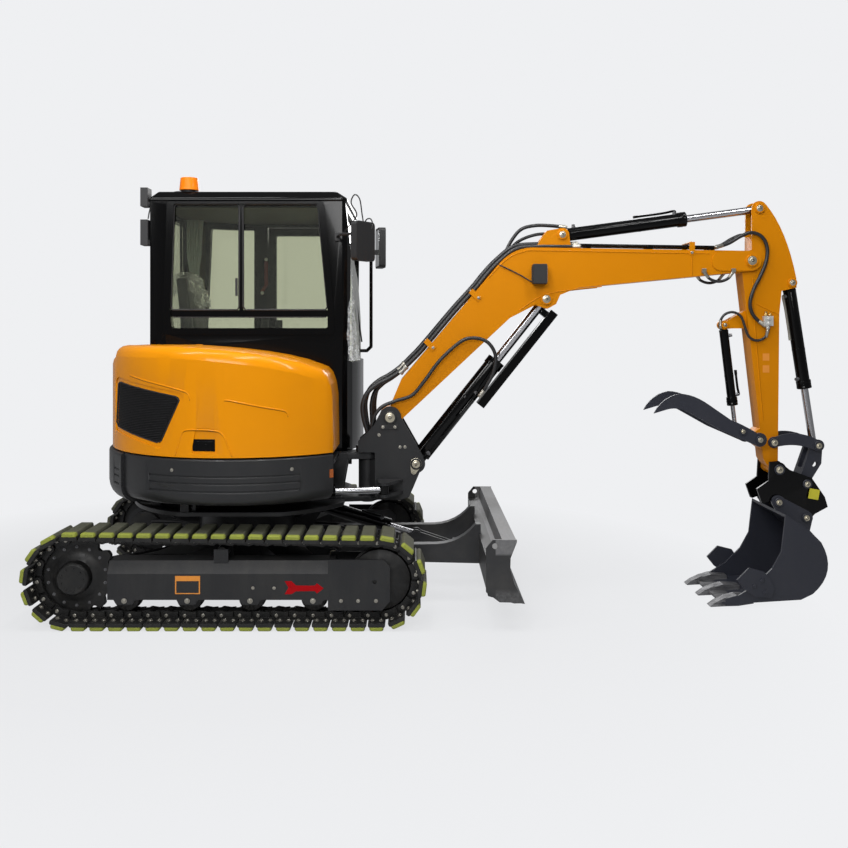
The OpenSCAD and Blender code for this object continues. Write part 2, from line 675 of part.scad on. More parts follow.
module window_cuts() {
  // right side
  side(cab_right - 20, cab_right + cab_wall + 1) offset(12) offset(-12) side_window();
  // rear and left rear
  translate([cab_rear - 20, 0, 0]) rotate([90, 0, 90]) linear_extrude(cab_wall + 21)
    offset(12) offset(-12) rear_window();
  side(560, cab_left + 10) offset(12) offset(-12) corner_window();
  // door opening
  side(cab_left - cab_wall - 30, cab_left + 10)
    polygon([[door_x[0], deck_z + 60], [door_x[1], deck_z + 60], [door_x[1], 1426], [545, door_top], [door_x[0], door_top]]);
  // windscreen
  translate([500, 0, 0]) rotate([90, 0, 90]) linear_extrude(300)
    offset(15) offset(-15) windscreen();
}

// Rail and divider of the right window, and the raised frame round it
frame_proud = 9;
rail_z = [1722, 1764];
divider_x = [-38, -14];
module window_bars(t) {
  translate([-480, rail_z[0] + t]) square([1010, rail_z[1] - rail_z[0] - 2 * t]);
  translate([divider_x[0] + t, rail_z[1] - 10]) square([divider_x[1] - divider_x[0] - 2 * t, window_top - rail_z[1] + 20]);
}
module window_frame() {
  side(cab_right + 4, cab_right + 32) window_bars(seat_gap);
  side(cab_right - frame_proud, cab_right + 1) difference() {
    offset(22) offset(-22) polygon([[-505, 1612], [552, 1612], [548, 1770], [488, cab_top - 2], [-482, cab_top - 2], [-505, 1770]]);
    offset(12) offset(-12) side_window();
  }
}

module cab_frame() color(gloss_black) union() {
  cab_shell();
  window_frame();
  at_hood_hinges() hinge_pin(cab_right - hood_hinge[0] + 1);
  at_bonnet_hinges() hinge_pin(cab_rear - bonnet_hinge[0] + 1);
  at_door_hinges() rotate([0, 0, 180]) hinge_pin(door_hinge[1] - cab_left + 5);
}

module cab_shell() difference() {
  union() {
    difference() {
      cab_solid(0, deck_z + seat_gap, cab_top);
      cab_solid(cab_wall, deck_z - 20, cab_top + 40);
    }
    // bulkhead and seat deck over the engine
    translate([-200, cab_right + cab_wall - 2, deck_z + seat_gap]) cube([24, 910, 1290 - deck_z]);
    intersection() {
      cab_solid(cab_wall - 2, deck_z, cab_top);
      translate([-560, -200, 1290]) cube([384, 1100, 24]);
    }
  }
  window_cuts();
  // the rear wall is open over the engine
  translate([cab_rear - 30, engine_at.y - bay_gap, deck_z - 40]) cube([100, engine_size.y + 2 * bay_gap, 440]);
}

module cab_roof() color(gloss_black) hull() {
  translate([0, 0, cab_top + seat_gap]) linear_extrude(20) intersection() {
    polygon(cab_plan(-4));
    translate([-600, -200]) square([1230, 1100]);
  }
  translate([0, 0, cab_top + roof_t - 16]) linear_extrude(16) intersection() {
    polygon(cab_plan(40));
    translate([-560, -200]) square([1120, 1100]);
  }
}

// Glass in the four window openings, which follows the walls
glass_in = 18;
module cab_windows() color(glass_tint) intersection() {
  difference() {
    cab_solid(glass_in, sill_z - 250, cab_top - 1);
    cab_solid(glass_in + glass_t, sill_z - 260, cab_top);
  }
  union() {
    side(cab_right - 20, cab_right + cab_wall) difference() {
      offset(-seat_gap) offset(12) offset(-12) side_window();
      window_bars(0);
    }
    translate([cab_rear - 20, 0, 0]) rotate([90, 0, 90]) linear_extrude(cab_wall + 20)
      offset(-seat_gap) offset(12) offset(-12) rear_window();
    side(560, cab_left + 10) offset(-seat_gap) offset(12) offset(-12) corner_window();
    translate([500, 0, 0]) rotate([90, 0, 90]) linear_extrude(300)
      offset(-seat_gap) offset(15) offset(-15) windscreen();
  }
}

seat_deck_z = 1314;
module seat() color(seat_grey) translate([0, 325, 0]) {
  side(-230, 230) polygon(concat([[-430, seat_deck_z + seat_gap], [0, seat_deck_z + seat_gap]], arc([0, 1400], 45, -90, 90, 5),
    [[-330, 1450]], bend([-380, 1560], [-400, 1700], [-430, 1985], 4), [[-500, 1975]], [[-450, 1500]]));
}

module curtain() color(seat_grey)
  translate([cab_rear + cab_wall + seat_gap, 430, 1600]) cube([36, 120, cab_top - 1600]);

module controls() color(gloss_black) for (y = [25, 625]) translate([0, y, 0]) {
  translate([-230, -45, seat_deck_z + seat_gap]) cube([370, 90, 190]);
  translate([90, 0, 1500]) cylinder(r = 14, h = 160);
  translate([90, 0, 1640]) cylinder(r = 24, h = 70);
}

// A thin round tube through a list of points
module tube(points, r)
  for (i = [0 : len(points) - 2]) {
    d = points[i + 1] - points[i];
    translate(points[i]) rotate([0, acos(d.z / norm(d)), atan2(d.y, d.x)]) cylinder(r = r, h = norm(d) + r / 2);
  }

// A mirror's housing with rounded corners, standing on the point p and turned by a
module mirror_head(p, size, a)
  translate(p) rotate([0, 0, a]) translate([size.x / 2, 0, 0]) rotate([0, -90, 0])
    linear_extrude(size.x) offset(24) offset(-24) translate([0, -size.y / 2]) square([size.z, size.y]);

module mirrors() color(gloss_black) {
  // right mirror on an arm from the cab's pillar
  union() {
    mirror_head([742, -405, 2048], [44, 176, 233], -35);
    tube([[572, cab_right - 12, 2215], [600, -320, 2215], [742, -405, 2215]], 9);
    translate([558, cab_right - seat_gap - 24, 2190]) cube([30, 24, 50]);
  }
  // left mirror on the handrail
  union() {
    mirror_head([797, 872, 2094], [48, 172, 292], 12);
    translate([rail_x + 12 + seat_gap, rail_y - 12, 2190]) cube([46, 24, 36]);
  }
}

rail_x = 728;
rail_y = 852;
module handrail() color(gloss_black) union() {
  tube([[588, rail_y, 1490], [rail_x - 30, rail_y, 1490], [rail_x, rail_y, 1520], [rail_x, rail_y, 2240],
        [rail_x - 30, rail_y, 2270], [588, rail_y, 2270]], 12);
  for (z = [1490, 2270]) bar_y([588, z], 9, cab_left + seat_gap, rail_y + 4);
}

roof_t = 66;
module lamps() color(gloss_black) {
  // work lamp and rear lamp on the cab's rear corner
  for (q = [[cab_top - 34, 116], [cab_top - 273, 158]]) {
    translate([-642, -194, q[0]]) cube([46, 88, q[1]]);
    translate([-597, -180, q[0] + 4]) cube([cab_rear + 597 - seat_gap, 60, 26]);
  }
  // beacon
  translate([-368, -80, cab_top + roof_t + seat_gap]) {
    cylinder(r = 44, h = 14);
    translate([0, 0, 13]) cylinder(r1 = 61, r2 = 53, h = 78);
  }
}

// ---------------------------------------------------------------- hood, bonnet and door

hood_low = 940;
hood_in = -192;
function hood_profile(t) = concat(
  [[-900, hood_low - 1], [front_x - 15 - t, hood_low - 1], [front_x - t, hood_low + 30], [front_x - 6 - t, 1290]],
  bend([front_x - 8 - t, 1300], [front_x - 20 - t, 1415 - t], [front_x - 100, 1430 - t], 4),
  bend([394, 1462 - t], [150, 1530 - t], [-300, hood_z - 2 - t], 5),
  [[-760, hood_z - t]],
  bend([-780, hood_z - t], [-830 + t, hood_z - 6 - t], [-836 + t, hood_z - 60 - t], 3),
  [[-900, hood_z - 100]]);

bonnet_x = -598;
bonnet_gap = 13;
seam_y = (house_r - 2) * sin(hood_rear_a);
// Radius of the rounded top edge, and the angles at which its sections are taken
edge_r = 66;
edge_angles = [0, 25, 45, 65, 90];

// The hood as a solid, set in by t on its outer sides, with its top edge rounded
module hood_solid(t, inner) hull() for (a = edge_angles) {
  in = t + (edge_r - t) * (1 - cos(a));
  intersection() {
    translate([0, 0, hood_low - 10]) linear_extrude(700)
      polygon(concat(arc([0, 0], house_r - 2 - in, hood_rear_a - 5, corner_a, 30),
                     [[front_x + 2 - in, inner], [-700, inner]]));
    translate([0, 0, -(edge_r - t) * (1 - sin(a))]) side(-900, -100) polygon(hood_profile(t));
  }
}

module grille_hole(t)
  offset(14 + t) offset(-14) polygon([[-690, 1340], [-240, 1268], [-365, 1010], [-715, 1080]]);

module side_hood() color(yellow) union() {
  hood_shell();
  at_hood_hinges() knuckle(hood_hinge[0] - hood_in + 2);
}

// The corner that the bonnet takes
module bonnet_corner(t) translate([-1000, seam_y - t, 0]) cube([1000 + bonnet_x + t, 600, 2000]);
press_deep = 7;
module hood_shell() difference() {
  hood_solid(0, hood_in);
  bonnet_corner(0);
  translate([-1000, -1000, 0]) cube([2000, 1000, hood_low]);
  difference() {
    hood_solid(panel_t, hood_in + 10);
    bonnet_corner(panel_t);
  }
  side(-900, -330) grille_hole(0);
  // pressed border of the grille and the recess of the latch
  intersection() {
    union() {
      side(-900, -330) grille_hole(26);
      side(-900, -330) offset(16) offset(-16) polygon([[-176, 962], [-22, 962], [-38, 1098], [-150, 1102]]);
    }
    curved_wall(house_r + 20, 22 + press_deep, hood_rear_a, 290, hood_low + 5, 1400);
  }
}

grille_t = 14;
module hood_grille() color(gloss_black) intersection() {
  curved_wall(house_r - 6, grille_t, hood_rear_a + 1.4, 290, 980, 1400);
  side(-900, -300) difference() {
    grille_hole(-seat_gap);
    for (z = [1000 : 34 : 1380])
      translate([-800, z]) square([700, 17]);
  }
}

bonnet_top = 1500;
bonnet_a0 = 138;
// The bonnet as a solid, set in by t, with its top edge rounded
module bonnet_solid(t) intersection() {
  hull() for (a = edge_angles) {
    in = t + (edge_r - t) * (1 - cos(a));
    translate([0, 0, hood_low - t]) linear_extrude(bonnet_top - hood_low - (edge_r - t) * (1 - sin(a)))
      polygon(concat(arc([0, 0], house_r - 2 - in, bonnet_a0 + in / 14, hood_rear_a + 4, 16),
                     [[bonnet_x - bonnet_gap + t, seam_y], [bonnet_x - bonnet_gap + t, (house_r - 2) * sin(bonnet_a0) - in]]));
  }
  translate([-1000, seam_y + panel_gap + t, 0]) cube([1000, 1000, 2000]);
}
module rear_bonnet() color(yellow) union() {
  bonnet_shell();
  at_bonnet_hinges() knuckle(bonnet_hinge[0] - bonnet_x + bonnet_gap + 2);
}

module bonnet_shell() difference() {
  bonnet_solid(0);
  bonnet_solid(panel_t);
}

module door_shape(t)
  offset(-t) polygon([[door_x[0], deck_z + 60], [door_x[1], deck_z + 60], [door_x[1], 1426], [545, door_top], [door_x[0], door_top]]);
module door_glass_shape(t)
  offset(14 + t) offset(-14) polygon([[46, 1440], [520, 1440], [496, 2320], [46, 2320]]);
door_out = 4;
module cab_door() color(gloss_black) union() {
  difference() {
    side(cab_left - cab_wall + 2, cab_left + door_out) door_shape(4);
    side(0, cab_left + 10) door_glass_shape(0);
  }
  // hinge leaves
  at_door_hinges() difference() {
    translate([0, 0, -knuckle_half + seat_gap]) linear_extrude(2 * (knuckle_half - seat_gap)) {
      circle(r = hinge_r);
      translate([0, cab_left + door_out - 1 - door_hinge[1]]) square([50, hinge_r - 1]);
    }
    translate([0, 0, -knuckle_half - 1]) cylinder(r = hinge_pin_r + seat_gap, h = 2 * knuckle_half + 2);
  }
}
module door_window() color(glass_tint)
  side(cab_left - 24, cab_left - 24 + glass_t) door_glass_shape(-seat_gap);

// ---------------------------------------------------------------- swing bracket and boom

bracket_t = 22;
bracket_half = boom_w / 2 + side_gap + bracket_t;
module bracket_plate() side(boom_y - bracket_half, boom_y - bracket_half + bracket_t) union() {
  translate(boom_foot) circle(r = 67);
  translate(boom_cyl_foot) circle(r = 56);
  polygon([[850, 1154], [800, 1061], [745, 1000], [703, 964], [703, lug_top[1] + 5], [812, lug_top[1] + 5]]);
  polygon([[800, 1061], [806, lug_top[0] - 6], [806, 606], [959, 604], [1013, 622], [1038, 677], [1105, 836],
           [1100, 870], [965, 1107], [850, 1154]]);
}

boss_t = 36;
module swing_bracket() color(frame_grey) difference() {
  union() {
    both_sides(boom_y) bracket_plate();
    // barrel of the swing pin, seated on the lower lug, and the boss over the upper lug
    translate([swing_x, boom_y, lug_low[1] + seat_gap]) cylinder(r = 55, h = lug_top[0] - lug_low[1] - 4);
    translate([swing_x, boom_y, lug_top[1] + 4]) cylinder(r = lug_r, h = boss_t);
    translate([0, 0, lug_low[1] + 5]) linear_extrude(lug_top[0] - lug_low[1] - 10)
      polygon([[swing_x, boom_y - 40], [830, boom_y - bracket_half + 2], [860, boom_y - bracket_half + 2],
               [860, boom_y + bracket_half - 2], [830, boom_y + bracket_half - 2], [swing_x, boom_y + 40]]);
    translate([0, 0, lug_top[1] + 4]) linear_extrude(boss_t)
      polygon([[swing_x, boom_y - lug_r], [850, boom_y - bracket_half + 2], [870, boom_y - bracket_half + 2],
               [870, boom_y + bracket_half - 2], [850, boom_y + bracket_half - 2], [swing_x, boom_y + lug_r]]);
    translate([0, 0, lug_low[1] + 5]) linear_extrude(30)
      polygon([[850, boom_y - bracket_half + 2], [1000, boom_y - bracket_half + 2],
               [1000, boom_y + bracket_half - 2], [850, boom_y + bracket_half - 2]]);
    // clevis for the swing cylinder
    for (z = [swing_cyl_z - 44, swing_cyl_z + 26]) translate([0, 0, z]) linear_extrude(18) {
      translate(swing_cyl_eye) circle(r = 34);
      polygon([[swing_cyl_eye.x - 32, swing_cyl_eye.y], [820, boom_y - bracket_half + 5],
               [980, boom_y - bracket_half + 5], [swing_cyl_eye.x + 32, swing_cyl_eye.y]]);
    }
    // pins of the boom and of its cylinder
    pin(boom_foot, boom_pin_r, bracket_half);
    pin(boom_cyl_foot, boom_cyl_pin_r, bracket_half);
  }
  translate([swing_x, boom_y, 500]) cylinder(r = swing_pin_r + seat_gap, h = 600);
}

function boom_outline() = concat(
  [[898, 1175], [965, 1335]],
  bend([1568, 2050], [1665, 2155], [1800, 2145], 8),
  [[3090, 2125]],
  [[3100, 2000]],
  bend([2060, 1900], [1850, 1880], [1640, 1722], 8),
  [[960, 1085], [898, 1040]]);

// Side plates of the boom, and the channel under its belly that its cylinder folds into
plate_t = 12;
tip_t = 7;
boom_in = boom_w / 2 - plate_t;
module boom_channel()
  polygon([[1010, 1000], [1010, 1175], [1500, 1640], [1600, 1800], [1690, 1990], [2020, 2000], [2060, 1880], [2100, 1600]]);

module boom_shell() difference() {
  union() {
    side(boom_y - boom_w / 2, boom_y + boom_w / 2) {
      polygon(boom_outline());
      translate(boom_foot) circle(r = 66);
      translate(arm_pivot) circle(r = 64);
    }
    both_sides(boom_y) side(boom_y - boom_w / 2, boom_y - boom_in) {
      translate(boom_cyl_eye) circle(r = 56);
      polygon([[1632, 1714], [1785, 1793], [1859, 1769], [1914, 1799], [1939, 1855], [2061, 1904], [1950, 1960], [1700, 1860]]);
    }
    // reinforcing plates at the tip
    both_sides(boom_y) side(boom_y - boom_w / 2 - tip_t, boom_y - boom_in)
      polygon(concat(arc([2925, 2062], 60, 95, 265, 8), arc(arm_pivot, 61, -88, 88, 10)));
    both_sides(boom_y) side(boom_y - boom_w / 2 - side_gap + seat_gap, boom_y - boom_in) translate(boom_foot) circle(r = 50);
  }
  // hollow inside
  side(boom_y - boom_in, boom_y + boom_in) offset(-14) difference() {
    polygon(concat([[1020, 1340]], bend([1568, 2050], [1665, 2155], [1800, 2145], 8), [[2945, 2127], [2945, 1992]],
      bend([2060, 1900], [1850, 1880], [1640, 1722], 8), [[1020, 1180]]));
    boom_channel();
  }
  side(boom_y - boom_in, boom_y + boom_in) boom_channel();
  // fork for the arm
  side(boom_y - arm_w / 2 - side_gap, boom_y + arm_w / 2 + side_gap)
    polygon([[2960, 1900], [2960, 2200], [3300, 2200], [3300, 1900]]);
  bar_y(boom_foot, boom_pin_r + seat_gap, boom_y - 200, boom_y + 200);
}

module boom() color(boom_yellow) union() {
  boom_shell();
  pin(arm_pivot, arm_pin_r, boom_w / 2 + tip_t);
  both_sides(boom_y) bar_y(arm_pivot, 50, boom_y - arm_w / 2 - side_gap - 1, boom_y - arm_w / 2 - seat_gap);
  pin_heads(boom_cyl_eye, boom_cyl_pin_r, boom_w / 2);
  // ears for the arm cylinder
  both_sides(boom_y) side(boom_y - 60, boom_y - 46) {
    translate(arm_cyl_foot) circle(r = 42);
    polygon([[1780, 2135], [1860, 2250], [1955, 2267], [1997, 2225], [2010, 2130]]);
  }
  pin(arm_cyl_foot, arm_cyl_pin_r, 60);
}

// Pipes along the boom's top on three clamps
function boom_top(x) = 2145 - 20 * (x - 1800) / 1290;
pipe_up = 22;
module boom_pipes() color(gloss_black) union() {
  for (k = [0 : 3])
    bar_xz([2060, boom_top(2060) + pipe_up], [2900, boom_top(2900) + pipe_up], 9, boom_y - 45 + 30 * k);
  for (x = [2100, 2480, 2860])
    side(boom_y - 60, boom_y + 60)
      polygon([[x, boom_top(x) + seat_gap], [x + 30, boom_top(x + 30) + seat_gap], [x + 30, boom_top(x) + pipe_up + 4],
               [x, boom_top(x) + pipe_up + 4]]);
}

module boom_lamp() color(gloss_black)
  translate([1765, boom_y - boom_w / 2 - 70 - seat_gap, 1920]) cube([85, 70, 120]);

// ---------------------------------------------------------------- arm

ear_t = 14;
module arm_outline() union() {
  translate(arm_pivot) circle(r = 60);
  translate(arm_cyl_eye) circle(r = 46);
  translate(guide_pivot) circle(r = 36);
  translate(bucket_pivot) circle(r = 42);
  polygon(concat(
    [arm_pivot + [-60, 0], [3116, 2130], [3118, 2386], [3164, 2432]],
    bend([3205, 2410], [3330, 2260], [3390, 1960], 8),
    [[3392, 1900], [3300, 1880], [3286, 1740], [3277, 836], [3300, 790], [3240, 770], [3188, 848], [3103, 1610]]));
}

module arm() color(boom_yellow) difference() {
  union() {
    difference() {
      union() {
        side(boom_y - arm_w / 2, boom_y + arm_w / 2) arm_outline();
        // bracket for the thumb's cylinder
        side(boom_y - 34, boom_y + 34) {
          translate(thumb_cyl_foot) circle(r = 28);
          polygon([thumb_cyl_foot + [-10, -26], thumb_cyl_foot + [12, 25], [3120, 1780], [3120, 1650], [3010, 1650]]);
        }
        // lug for the thumb
        side(boom_y - arm_w / 2, boom_y + arm_w / 2) {
          translate(thumb_pivot) circle(r = 34);
          polygon([thumb_pivot + [-20, 28], [3200, 1060], [3220, 880], thumb_pivot + [0, -34]]);
        }
      }
      // box hollow and the open top between the ears
      side(boom_y - arm_w / 2 + ear_t, boom_y + arm_w / 2 - ear_t) {
        polygon([[3000, 2300], [3140, 2200], [3260, 2000], [3290, 1770], [3500, 1850], [3500, 2600], [3000, 2600]]);
        offset(-14) polygon([[3103, 1610], [3130, 1960], [3200, 1960], [3286, 1740], [3277, 1000], [3172, 1000]]);
      }
      side(boom_y - 20, boom_y + 20)
        polygon([thumb_cyl_foot + [-60, -60], thumb_cyl_foot + [-60, 60], thumb_cyl_foot + [40, 60], [3075, 1600], [3040, 1400]]);
      bar_y(arm_pivot, arm_pin_r + seat_gap, boom_y - 200, boom_y + 200);
    }
    bar_y(bucket_pivot, 42, boom_y - boss_half, boom_y + boss_half);
    pin(bucket_pivot, bucket_pin_r, coupler_half + pin_float);
    pin(guide_pivot, arm_cyl_pin_r, link_y + link_t + pin_float);
    both_sides(boom_y) bar_y(guide_pivot, 32, boom_y - link_y + seat_gap, boom_y - arm_w / 2 + 1);
    pin(bucket_cyl_foot, small_pin_r, arm_w / 2);
    pin(thumb_pivot, thumb_pin_r, thumb_out + pin_float);
    pin(thumb_cyl_foot, thumb_cyl_pin_r, 34);
    pin_heads(arm_cyl_eye, arm_cyl_pin_r, arm_w / 2);
  }
}

// ---------------------------------------------------------------- bucket linkage

module guide_links() color(tool_grey) both_sides(boom_y) difference() {
  union() {
    side(boom_y - link_y - link_t, boom_y - link_y) {
      translate(guide_pivot) circle(r = 34);
      translate(link_pin) circle(r = 36);
      polygon(concat(bend(guide_pivot + [0, 30], [3380, 1040], link_pin + [0, 34], 8),
                     bend(link_pin + [-10, -34], [3380, 960], guide_pivot + [0, -32], 8)));
    }
    bar_y(link_pin, 30, boom_y - link_y - 1, boom_y - link_half - seat_gap);
    bar_y(link_pin, 27, boom_y - link_y - link_t - pin_head_t, boom_y - link_y - link_t + 1);
  }
  bar_y(guide_pivot, arm_cyl_pin_r + seat_gap, boom_y - 120, boom_y);
}

module bucket_link() color(tool_grey) difference() {
  union() {
    side(boom_y - link_half, boom_y + link_half) {
      translate(link_pin) circle(r = 34);
      translate(coupler_pin) circle(r = 34);
      polygon([link_pin + [-34, 0], coupler_pin + [-30, 16], coupler_pin + [34, 0], [3545, 820], link_pin + [34, 0]]);
    }
    bar_y(coupler_pin, 32, boom_y - boss_half, boom_y + boss_half);
  }
  side(boom_y - 30, boom_y + 30)
    polygon([[3380, 800], [3440, 790], [3600, 790], [3700, 1100], [3380, 1100]]);
  bar_y(coupler_pin, small_pin_r + seat_gap, boom_y - 120, boom_y + 120);
  bar_y([3505, 815], lift_eye_d / 2, boom_y - 120, boom_y + 120);
}

front_pin = [3256, 595];
rear_pin = [3423, 501];
hook_pin_r = 18;
module coupler() color(gloss_black) union() {
  difference() {
    union() {
      both_sides(boom_y) side(boom_y - coupler_half, boom_y - coupler_y) {
        translate(bucket_pivot) circle(r = 44);
        translate(coupler_pin) circle(r = 38);
        translate(front_pin) circle(r = 38);
        translate(rear_pin) circle(r = 38);
        polygon([[3212, 836], [3267, 842], [3334, 787], [3468, 738], [3547, 623], [3565, 562], [3486, 519], [3440, 468],
                 [3400, 474], [3304, 586], [3262, 562], [3215, 572], [3163, 586], [3133, 672], [3205, 720]]);
      }
      // body between the plates
      side(boom_y - coupler_y - 1, boom_y + coupler_y + 1)
        polygon([[3262, 690], [3300, 660], [3470, 612], [3490, 575], [3455, 548], [3400, 562], [3312, 622], [3262, 650]]);
    }
    bar_y(bucket_pivot, bucket_pin_r + seat_gap, boom_y - 120, boom_y + 120);
    // hooks round the bucket's pins
    for (h = [[front_pin, 200], [rear_pin, 268]])
      side(boom_y - 120, boom_y + 120) {
        translate(h[0]) circle(r = hook_pin_r + seat_gap);
        translate(h[0]) rotate(h[1]) translate([0, 2 - hook_pin_r]) square([80, 2 * hook_pin_r - 4]);
      }
  }
  pin(coupler_pin, small_pin_r, coupler_half);
}

// ---------------------------------------------------------------- bucket

function bucket_back() = concat(
  [[3240, 548], [3380, 458], [3410, 425]],
  bend([3450, 385], [3550, 210], [3400, 80], 8),
  [[3330, 46], [2900, 20], [2860, 22]]);

cutter_t = 14;
tooth_half = 30;
tooth_pitch = bucket_w / 2 - tooth_half - 8;
module bucket_skin() side(boom_y - bucket_w / 2, boom_y + bucket_w / 2)
  polygon(concat(bucket_back(), [[2862, 34], [2960, 36], [3320, 62]],
    bend([3390, 96], [3528, 212], [3438, 377], 8), [[3398, 416], [3370, 448], [3240, 531]]));

module bucket_cheek() side(boom_y - bucket_w / 2, boom_y - bucket_w / 2 + 14)
  polygon(concat(bucket_back(), [[2900, 34], [3060, 130], [3160, 230], [3215, 330], [3230, 460]]));

module bucket() color(tool_grey) union() {
  bucket_skin();
  both_sides(boom_y) {
    bucket_cheek();
    // ears for the coupler
    side(boom_y - coupler_half - side_gap - 20, boom_y - coupler_half - side_gap) {
      translate(front_pin) circle(r = 40);
      translate(rear_pin) circle(r = 40);
      polygon([[3216, 595], [3256, 635], [3440, 540], [3463, 501], [3440, 400], [3380, 450], [3240, 540]]);
    }
  }
  // side cutters, bolted to the cheeks
  both_sides(boom_y) side(boom_y - bucket_w / 2 - cutter_t, boom_y - bucket_w / 2 + 1) {
    polygon([[3018, 237], [2948, 166], [2995, 107], [3060, 66], [3150, 62], [3172, 120], [3110, 214]]);
  }
  // the pins that the coupler hooks onto
  for (p = [front_pin, rear_pin]) pin(p, hook_pin_r, coupler_half + side_gap + 20);
  // three teeth on their adapters
  for (k = [-1, 0, 1]) translate([0, boom_y + tooth_pitch * k, 0]) {
    side(-tooth_half, tooth_half) polygon([[2794, 4], [2800, 1], [2900, 6], [2980, 20], [2980, 60], [2890, 58], [2830, 30]]);
    side(-tooth_half - 8, tooth_half + 8) polygon([[2884, 8], [2960, 10], [3050, 24], [3050, 66], [2950, 72], [2884, 52]]);
  }
}

// ---------------------------------------------------------------- thumb

// Outline of a tine, from its pivot
function tine_outline() = [for (q = concat(
    bend([-642, 160], [-590, 262], [-485, 279], 6), bend([-484, 279], [-400, 279], [-303, 209], 6),
    bend([-176, 121], [-110, 97], [-18, 42], 4), [[-6, -42]],
    [[-145, 18], [-242, 61], [-339, 115]], bend([-424, 163], [-500, 205], [-569, 182], 6)))
  thumb_pivot + q];

module thumb() color(tool_grey) difference() {
  union() {
    both_sides(boom_y) {
      side(boom_y - thumb_out, boom_y - thumb_in) {
        polygon(tine_outline());
        translate(thumb_pivot) circle(r = 42);
      }
      // hub and the spacer of the cylinder's pin
      bar_y(thumb_pivot, 30, boom_y - thumb_in - 1, boom_y - arm_w / 2 - seat_gap);
      bar_y(thumb_cyl_eye, 20, boom_y - thumb_out - 6, boom_y - 15 - seat_gap);
    }
    // tube that joins the tines
    bar_y(thumb_pivot + [-450, 226], 20, boom_y - thumb_in - 1, boom_y + thumb_in + 1);
  }
  bar_y(thumb_pivot, thumb_pin_r + seat_gap, boom_y - 150, boom_y + 150);
}

// ---------------------------------------------------------------- nodes

chassis();
track_frames();
track_right();
track_left();
sprockets();
idlers_and_rollers();
slew_ring();
dozer_blade();
blade_barrel();
blade_rod();
deck_frame();
counterweight();
skirts();
engine();
cab_frame();
cab_roof();
cab_windows();
seat();
curtain();
controls();
mirrors();
handrail();
lamps();
side_hood();
hood_grille();
rear_bonnet();
cab_door();
door_window();
swing_bracket();
swing_barrel();
swing_rod();
boom();
boom_pipes();
boom_lamp();
boom_barrel();
boom_rod();
rod_guard();
arm_barrel();
arm_rod();
arm();
bucket_barrel();
bucket_rod();
guide_links();
bucket_link();
coupler();
bucket();
thumb();
thumb_barrel();
thumb_rod();
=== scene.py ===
"""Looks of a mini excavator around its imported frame: paint, glass, rubber, hoses, bolts and small fittings."""

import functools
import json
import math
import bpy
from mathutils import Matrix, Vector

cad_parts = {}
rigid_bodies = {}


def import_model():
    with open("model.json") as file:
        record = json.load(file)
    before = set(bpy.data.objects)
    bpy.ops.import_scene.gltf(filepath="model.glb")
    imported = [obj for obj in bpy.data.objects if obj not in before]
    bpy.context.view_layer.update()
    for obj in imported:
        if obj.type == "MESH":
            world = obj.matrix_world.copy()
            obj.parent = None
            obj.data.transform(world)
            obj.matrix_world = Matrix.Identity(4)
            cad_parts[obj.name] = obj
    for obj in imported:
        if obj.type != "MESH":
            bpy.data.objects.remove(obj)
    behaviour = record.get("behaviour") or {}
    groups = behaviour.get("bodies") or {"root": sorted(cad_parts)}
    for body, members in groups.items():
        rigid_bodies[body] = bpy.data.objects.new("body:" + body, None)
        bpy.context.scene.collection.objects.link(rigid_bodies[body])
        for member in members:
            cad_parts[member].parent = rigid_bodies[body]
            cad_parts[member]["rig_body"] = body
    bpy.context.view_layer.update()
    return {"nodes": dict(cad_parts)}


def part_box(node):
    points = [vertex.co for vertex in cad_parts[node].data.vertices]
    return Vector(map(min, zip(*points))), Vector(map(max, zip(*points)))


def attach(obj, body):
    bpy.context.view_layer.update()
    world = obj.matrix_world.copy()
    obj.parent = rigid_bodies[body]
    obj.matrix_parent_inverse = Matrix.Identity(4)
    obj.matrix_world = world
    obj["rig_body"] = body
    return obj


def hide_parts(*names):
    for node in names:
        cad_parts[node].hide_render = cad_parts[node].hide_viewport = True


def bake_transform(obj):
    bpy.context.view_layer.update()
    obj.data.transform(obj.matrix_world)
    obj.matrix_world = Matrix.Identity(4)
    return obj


bl_info = {
    "name": "Mini Excavator Finishes",
    "version": (1, 0, 0),
    "blender": (4, 5, 0),
    "location": "View3D > Sidebar > Excavator",
    "description": "Adds paint, glass, hoses and fittings to the packed frame of a mini excavator",
    "category": "Object",
}

import bmesh
import bpy
from bpy.props import FloatProperty, FloatVectorProperty, IntProperty, PointerProperty
from mathutils import Matrix, Vector, noise

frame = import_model()
MM = 0.001
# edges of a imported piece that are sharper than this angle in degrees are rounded
SHARP = 28.0

# ---------------------------------------------------------------- settings


def colour(name, default):
    """A colour property, written as linear red, green and blue."""
    return FloatVectorProperty(name=name, description=f"Colour of the {name.lower()}", subtype="COLOR",
                               size=3, min=0.0, max=1.0, default=default)


def factor(name, description):
    """A factor on sizes, 1 as they are."""
    return FloatProperty(name=name, description=description, subtype="FACTOR", min=0.2, max=3.0, default=1.0)


class ExcavatorPaint(bpy.types.PropertyGroup):
    """Colours of the machine."""

    hood: colour("Hood paint", (0.740, 0.262, 0.0008))
    boom: colour("Boom paint", (0.580, 0.200, 0.0010))
    frame: colour("Frame paint", (0.0175, 0.0180, 0.0195))
    tool: colour("Tool paint", (0.024, 0.026, 0.036))
    black: colour("Gloss black", (0.0014, 0.0014, 0.0016))
    shoe: colour("Shoe rubber", (0.060, 0.062, 0.040))
    shoe_end: colour("Shoe end marking", (0.30, 0.34, 0.035))
    dust: colour("Dust", (0.30, 0.27, 0.23))
    lens: colour("Beacon lens", (0.85, 0.20, 0.004))


